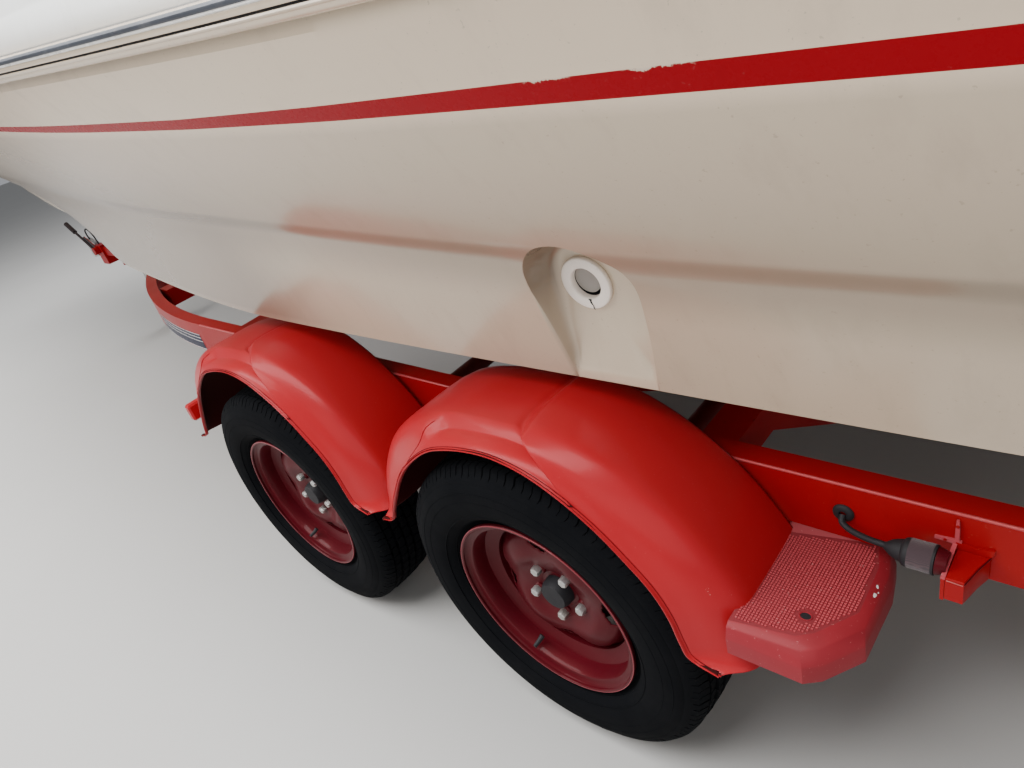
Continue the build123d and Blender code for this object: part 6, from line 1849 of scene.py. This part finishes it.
# instrument dials and switches on the console face
b = Build()
face_x = D(150, 0, 300)
for k, (off, up_, r) in enumerate(((-150, 40, 40), (150, 40, 40), (-150, -62, 26), (150, -62, 26), (-95, 108, 22), (95, 108, 22))):
    c = W(1178, -512, 1050) - sw_n * 0.0415 + Vector((0, off / 1000, 0)) + face_x * (up_ / 1000)
    rr = r / 1000
    b.lathe([(0.0, rr), (0.006, rr), (0.0085, rr - 0.003), (0.0065, rr - 0.006), (0.004, rr - 0.0065), (0.004, 0.0)], c, sw_n, 36, 0)
    b.lathe([(0.0042, rr - 0.0075), (0.0046, rr - 0.0085), (0.0046, 0.0)], c, sw_n, 36, 1)
    nd = (sw_y * 0.75 + face_x * 0.55).normalized()
    b.box(c + sw_n * 0.0056 + nd * rr * 0.28, (rr * 0.7, 0.0012, 0.0008), (nd, nd.cross(sw_n).normalized(), sw_n), 0, 2)
    for q in range(9):
        th = math.radians(-130 + q * 32.5)
        dd = face_x * math.cos(th) + sw_y * math.sin(th)
        b.box(c + sw_n * 0.0052 + dd * (rr * 0.62), (rr * 0.14, 0.0009, 0.0006), (dd, dd.cross(sw_n).normalized(), sw_n), 0, 2)
for q in range(5):
    c = W(1178, -512, 1050) - sw_n * 0.0405 + Vector((0, (-60 + 30 * q) / 1000, 0)) - face_x * 0.135
    b.box(c, (0.016, 0.012, 0.007), (face_x, sw_y, sw_n), 0.0015, 0)
b.obj("dash_dials", [M["dark"], M["black"], M["plastic"]], 35, "root")
# throttle lever on the starboard coaming side
b = Build()
tc = W(1010, -748, 1040)
b.box(tc, (0.11, 0.010, 0.10), (X_, Y_, Z_), 0.004, 0)
b.lathe([(0.0, 0.028), (0.010, 0.026), (0.016, 0.016), (0.018, 0.0)], tc + Vector((0, 0.005, 0)), Vector((0, 1, 0)), 28, 1)
p = tc + Vector((0, 0.019, 0))
b.tube([p, p + Z_ * 0.05 - X_ * 0.015 + Y_ * 0.004, p + Z_ * 0.115 - X_ * 0.040 + Y_ * 0.010], [0.006, 0.0055, 0.005], 12, 1)
b.lathe([(-0.014, 0.0), (-0.012, 0.010), (0.0, 0.0155), (0.012, 0.010), (0.014, 0.0)], p + Z_ * 0.122 - X_ * 0.042 + Y_ * 0.010, Z_, 20, 0)
b.obj("throttle_lever", [M["dark"], M["steel"]], 40, "root")

# ------------------------------------------------------------------ propeller and rudder
pc = W(-1300, 0, 15)
pd = D(1, 0, 0.2125)
pu = Vector((0, 1, 0))
pw = pd.cross(pu).normalized()
b = Build()
b.lathe([(-0.070, 0.0), (-0.068, 0.010), (-0.055, 0.019), (-0.038, 0.0255), (0.0, 0.0270), (0.036, 0.0260), (0.038, 0.0)], pc, pd, 40, 0)
b.lathe([(0.030, 0.0138), (0.970, 0.0138)], pc, pd, 28, 1)
for k in range(3):
    a0 = 2 * math.pi * k / 3
    NU, NV = 16, 13
    for lay in (0,):
        top_, bot_ = [], []
        for i in range(NU):
            t = i / (NU - 1)
            r = mix(0.022, 0.1385, t)
            half = (0.020 + 0.062 * math.sin(math.pi * min(1, t * 0.93 + 0.02)) ** 0.8) * (1 - smooth((t - 0.86) / 0.16) * 0.92)
            pitch = math.atan2(0.24, 2 * math.pi * max(r, 0.02))
            for j in range(NV):
                v = 2 * j / (NV - 1) - 1
                s_ = v * half + 0.012 * t * t
                th = a0 + s_ * math.cos(pitch) / max(r, 0.03)
                ax0 = s_ * math.sin(pitch) - 0.012 * t
                thick = 0.0055 * (1 - v * v) * (1 - 0.75 * t) + 0.0007
                d = pu * math.cos(th) + pw * math.sin(th)
                top_.append(pc + pd * (ax0 + thick / 2) + d * r)
                bot_.append(pc + pd * (ax0 - thick / 2) + d * r)
        fs = []
        for i in range(NU - 1):
            for j in range(NV - 1):
                a = i * NV + j
                fs.append((a, a + 1, a + NV + 1, a + NV))
        off = NU * NV
        fs += [tuple(q + off for q in f[::-1]) for f in fs]
        for i in range(NU - 1):
            fs.append((i * NV, (i + 1) * NV, (i + 1) * NV + off, i * NV + off))
            fs.append((i * NV + NV - 1, i * NV + NV - 1 + off, (i + 1) * NV + NV - 1 + off, (i + 1) * NV + NV - 1))
        fs.append(tuple([(NU - 1) * NV + j for j in range(NV)] + [(NU - 1) * NV + j + off for j in range(NV - 1, -1, -1)]))
        b.add(top_ + bot_, fs, 0)
o = b.obj("propeller_mesh", [M["bronze"], M["steel"]], 45, "propeller")
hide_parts("propeller")
give("rudder", M["bronze"], 0.003)
give("shaft_strut", M["bronze"], 0.002)

# ------------------------------------------------------------------ carried-over nodes
for n_, s in (("side_beam_port", 1), ("side_beam_starboard", -1)):
    give(n_, M["red"], 0.0045, 3)
    # painted highlight along the beam's upper outer edge: a thin round tube in paler paint
    b = Build()
    b.tube([W(-1590 + 55.0 * i, s * 724.4, BEAM_Z - 0.8) for i in range(57)], 0.0024, 8, 0)
    b.obj(n_ + "_edge", [M["beam_edge"]], 60, "root")
give("cross_members", M["red"], 0.004, 3)
give("drawbar", M["red"], 0.005, 3)
give("frame_brackets", M["red"], 0.001, 1)
give("winch_post", M["red"], 0.002)
M["housing"] = M["red"].copy()
M["housing"].name = "housing_paint"
_nt = M["housing"].node_tree
_b = _nt.nodes["Principled BSDF"]
_tc = _nt.nodes.new("ShaderNodeTexCoord")
_sp = _nt.nodes.new("ShaderNodeSeparateXYZ")
_nt.links.new(_tc.outputs["Object"], _sp.inputs[0])
_gt = _nt.nodes.new("ShaderNodeMath")
_gt.operation = "GREATER_THAN"
_gt.inputs[1].default_value = W(4398, 0, 70).x
_nt.links.new(_sp.outputs[0], _gt.inputs[0])
_gy = _nt.nodes.new("ShaderNodeMath")
_gy.operation = "GREATER_THAN"
_gy.inputs[1].default_value = 0.046
_nt.links.new(_sp.outputs[1], _gy.inputs[0])
_an = _nt.nodes.new("ShaderNodeMath")
_an.operation = "MULTIPLY"
_nt.links.new(_gt.outputs[0], _an.inputs[0])
_nt.links.new(_gy.outputs[0], _an.inputs[1])
_nz = _nt.nodes.new("ShaderNodeTexNoise")
_nz.inputs["Scale"].default_value = 60
_nt.links.new(_tc.outputs["Object"], _nz.inputs["Vector"])
_rp = _nt.nodes.new("ShaderNodeValToRGB")
_rp.color_ramp.elements[0].color = (0.010, 0.010, 0.012, 1)
_rp.color_ramp.elements[1].color = (0.035, 0.030, 0.030, 1)
_nt.links.new(_nz.outputs["Fac"], _rp.inputs[0])
_mx = _nt.nodes.new("ShaderNodeMix")
_mx.data_type = "RGBA"
_src = _b.inputs["Base Color"].links[0].from_socket
_nt.links.new(_an.outputs[0], _mx.inputs[0])
_nt.links.new(_src, _mx.inputs[6])
_nt.links.new(_rp.outputs[0], _mx.inputs[7])
_nt.links.new(_mx.outputs[2], _b.inputs["Base Color"])
give("overrun_housing", M["housing"], 0.003)
give("coupling_head", M["zinc"], 0.003)
give("overrun_gaiter", M["black"])
give("brake_cable", M["black"])
give("keel_rollers", M["black"], 0.002)
give("hull_bunks", M["carpet"], 0.006)
give("axles", M["axle"])
give("leaf_springs", M["spring"], 0.001, 1)
give("winch_strap", M["strap"])
for n_ in ("jockey_tube", "jockey_leg", "jockey_fork"):
    give(n_, M["zinc"], 0.001, 1)
give("jockey_wheel", M["black"], 0.002)
give("windows", M["glass"])
give("windscreen_frame", M["alu"], 0.003)
give("bow_rail", M["steel"])
give("mooring_fittings", M["steel"], 0.0015)
give("navigation_lamps", M["plastic"], 0.002)
give("cockpit_liner", M["white_in"], 0.003)
give("cockpit_sole", M["teak"])
give("cabin_bulkhead", M["white_in"], 0.003)
give("cabin_door", M["white"], 0.003)
give("helm_console", M["white_in"], 0.006, 3)
give("engine_box", M["white_in"], 0.006, 3)
give("engine_lid", M["white"], 0.006, 3)
give("engine_block", M["iron"], 0.01)
give("seat_bases", M["white_in"], 0.01, 3)
give("foredeck_hatch", M["white"], 0.008, 3)
give("cabin_berth", M["white_in"], 0.003)

# ------------------------------------------------------------------ small trim
# gaiter bellows
b = Build()
gp = []
for i in range(5):
    x = 0.0004 + i * 0.0068
    gp += [(x, 0.0235), (x + 0.0022, 0.0292), (x + 0.0034, 0.0298), (x + 0.0046, 0.0292)]
gp.append((0.0346, 0.0235))
b.lathe(gp, W(4420.5, 0, 38), X_, 40, 0)
o = b.obj("gaiter_bellows", [M["black"]], 60, "root")
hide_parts("overrun_gaiter")
# dark-blue band with pale lines on the curved part of each side beam
for s, sd in ((1, "port"), (-1, "starboard")):
    NB_, vs, bv = 34, [], []
    rows_ = (176.0, 184.0, 192.0, 200.0, 208.0, 216.0, 224.0, 232.0)
    for i in range(NB_):
        x = mix(1532, 1935, i / (NB_ - 1))
        a_ = math.asin((x - 1500) / 1820.0)
        for z in rows_:
            vs.append(W(1500 + 1820.5 * math.sin(a_), s * (-1095 + 1820.5 * math.cos(a_)), z))
            bv.append((z - rows_[0]) / (rows_[-1] - rows_[0]))
    fs = []
    for i in range(NB_ - 1):
        for q in range(len(rows_) - 1):
            k0 = i * len(rows_) + q
            f = (k0, k0 + 1, k0 + 1 + len(rows_), k0 + len(rows_))
            fs.append(f if s < 0 else f[::-1])
    o = mesh("beam_band_" + sd, vs, fs, [M["band"]])
    at = o.data.attributes.new("bv", "FLOAT", "POINT")
    at.data.foreach_set("value", bv)
    out_y = sum(p.normal.y * p.area for p in o.data.polygons)
    if out_y * s < 0:
        o.data.flip_normals()
    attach(o, "root")
# bolts on the frame: spring hangers, spring clamps on the axles, and on the beams beside each wheel
b = Build()
for s in (1, -1):
    for ax0, az in ((0.0, 0.0), (FX, FZ)):
        for e in (-330, 330):
            b.lathe([(0.0, 0.0125), (0.009, 0.0125), (0.0105, 0.0108), (0.0105, 0.0)], W(ax0 + e, s * 738, 108), Vector((0, s, 0)), 6, 0)
        for dx in (-34, 34):
            for dy in (-30, 30):
                b.lathe([(0.0, 0.0095), (0.010, 0.0095), (0.0115, 0.008), (0.0115, 0.0)], W(ax0 + dx, s * 705 + dy * 0.8, az + 64.5), D(0, 0, 1), 6, 0)
    for x0 in (0.0, 819.0):
        for dx in (-60, 60):
            for z in (215, 255):
                b.lathe([(0.0, 0.0085), (0.006, 0.0085), (0.0075, 0.007), (0.0075, 0.0)], W(x0 + dx, s * 731.5, z), Vector((0, s, 0)), 6, 0)
b.obj("frame_bolts", [M["zinc"]], 35, "root")
# fixed hinge knuckles of the foredeck hatch, on its coaming
b = Build()
for y in (-160, 130):
    b.tube([W(3600, y + 0.5, HZT + 6), W(3600, y + 29.5, HZT + 6)], 0.006, 16, 0)
    b.box(W(3592, y + 15, HZT - 7), (0.016, 0.029, 0.018), (X_, Y_, Z_), 0.001, 0)
b.obj("hatch_hinges", [M["steel"]], 35, "root")
# hatch lid: a smoked panel
b = Build()
b.box(W(3300, 0, HZT + 36), (0.43, 0.43, 0.006), (X_, Y_, Z_), 0.002, 0)
b.obj("hatch_panel", [M["glass"]], 35, "foredeck_hatch")

# ------------------------------------------------------------------ stage, light, camera
me = bpy.data.meshes.new("floor")
S_ = 40.0
me.from_pydata([(-S_, -S_, 0), (S_, -S_, 0), (S_, S_, 0), (-S_, S_, 0)], [], [(0, 1, 2, 3)])
floor = bpy.data.objects.new("floor", me)
bpy.context.scene.collection.objects.link(floor)
t = NT("floor_pale")
t.color(t.mixc(t.noise(1.2, 4), (0.34, 0.335, 0.325), (0.37, 0.365, 0.355)))
t.rough(0.8)
me.materials.append(t.m)

w = bpy.data.worlds.new("studio")
bpy.context.scene.world = w
w.use_nodes = True
bg = w.node_tree.nodes["Background"]
bg.inputs[0].default_value = (0.92, 0.95, 1.0, 1)
bg.inputs[1].default_value = 0.36


def area(name, loc, target, size, power, color=(1, 1, 1)):
    ld = bpy.data.lights.new(name, "AREA")
    ld.shape = "RECTANGLE"
    ld.size, ld.size_y = size
    ld.energy = power
    ld.color = color
    lo = bpy.data.objects.new(name, ld)
    bpy.context.scene.collection.objects.link(lo)
    lo.location = loc
    lo.rotation_euler = (Vector(target) - Vector(loc)).to_track_quat("-Z", "Y").to_euler()
    return lo


area("key", (2.6, 5.6, 4.6), (-1.8, 0.6, 0.8), (4, 3.5), 330, (1.0, 0.97, 0.93))
area("fill", (-5.5, 6.5, 3.4), (-2.0, 0.5, 0.8), (7, 4), 165, (1.0, 0.98, 0.95))
area("top", (-0.3, 1.8, 7.3), (-0.8, 0.4, 0), (9, 6), 2150)
area("rim", (2.0, -6.5, 5.0), (0, 0, 1.0), (7, 4), 340, (0.95, 0.97, 1.0))

cam_d = bpy.data.cameras.new("camera")
cam = bpy.data.objects.new("camera", cam_d)
bpy.context.scene.collection.objects.link(cam)
R0, R1, R2 = ((-0.73990543, -0.62409107, -0.25109816), (-0.16746966, 0.53239645, -0.82976378), (0.65153194, -0.5718954, -0.49843935))
right, down, fwd = D(*R0), D(*R1), D(*R2)
rot = Matrix((right, -down, -fwd)).transposed().to_4x4()
cam.matrix_world = Matrix.Translation(W(-757.5, 1523.7, 1016.9)) @ rot
cam_d.sensor_fit = "HORIZONTAL"
cam_d.sensor_width = 36.0
cam_d.lens = 732.74 / 1024 * 36.0
cam_d.clip_start = 0.02
cam_d.clip_end = 200
bpy.context.scene.camera = cam

bpy.context.view_layer.update()
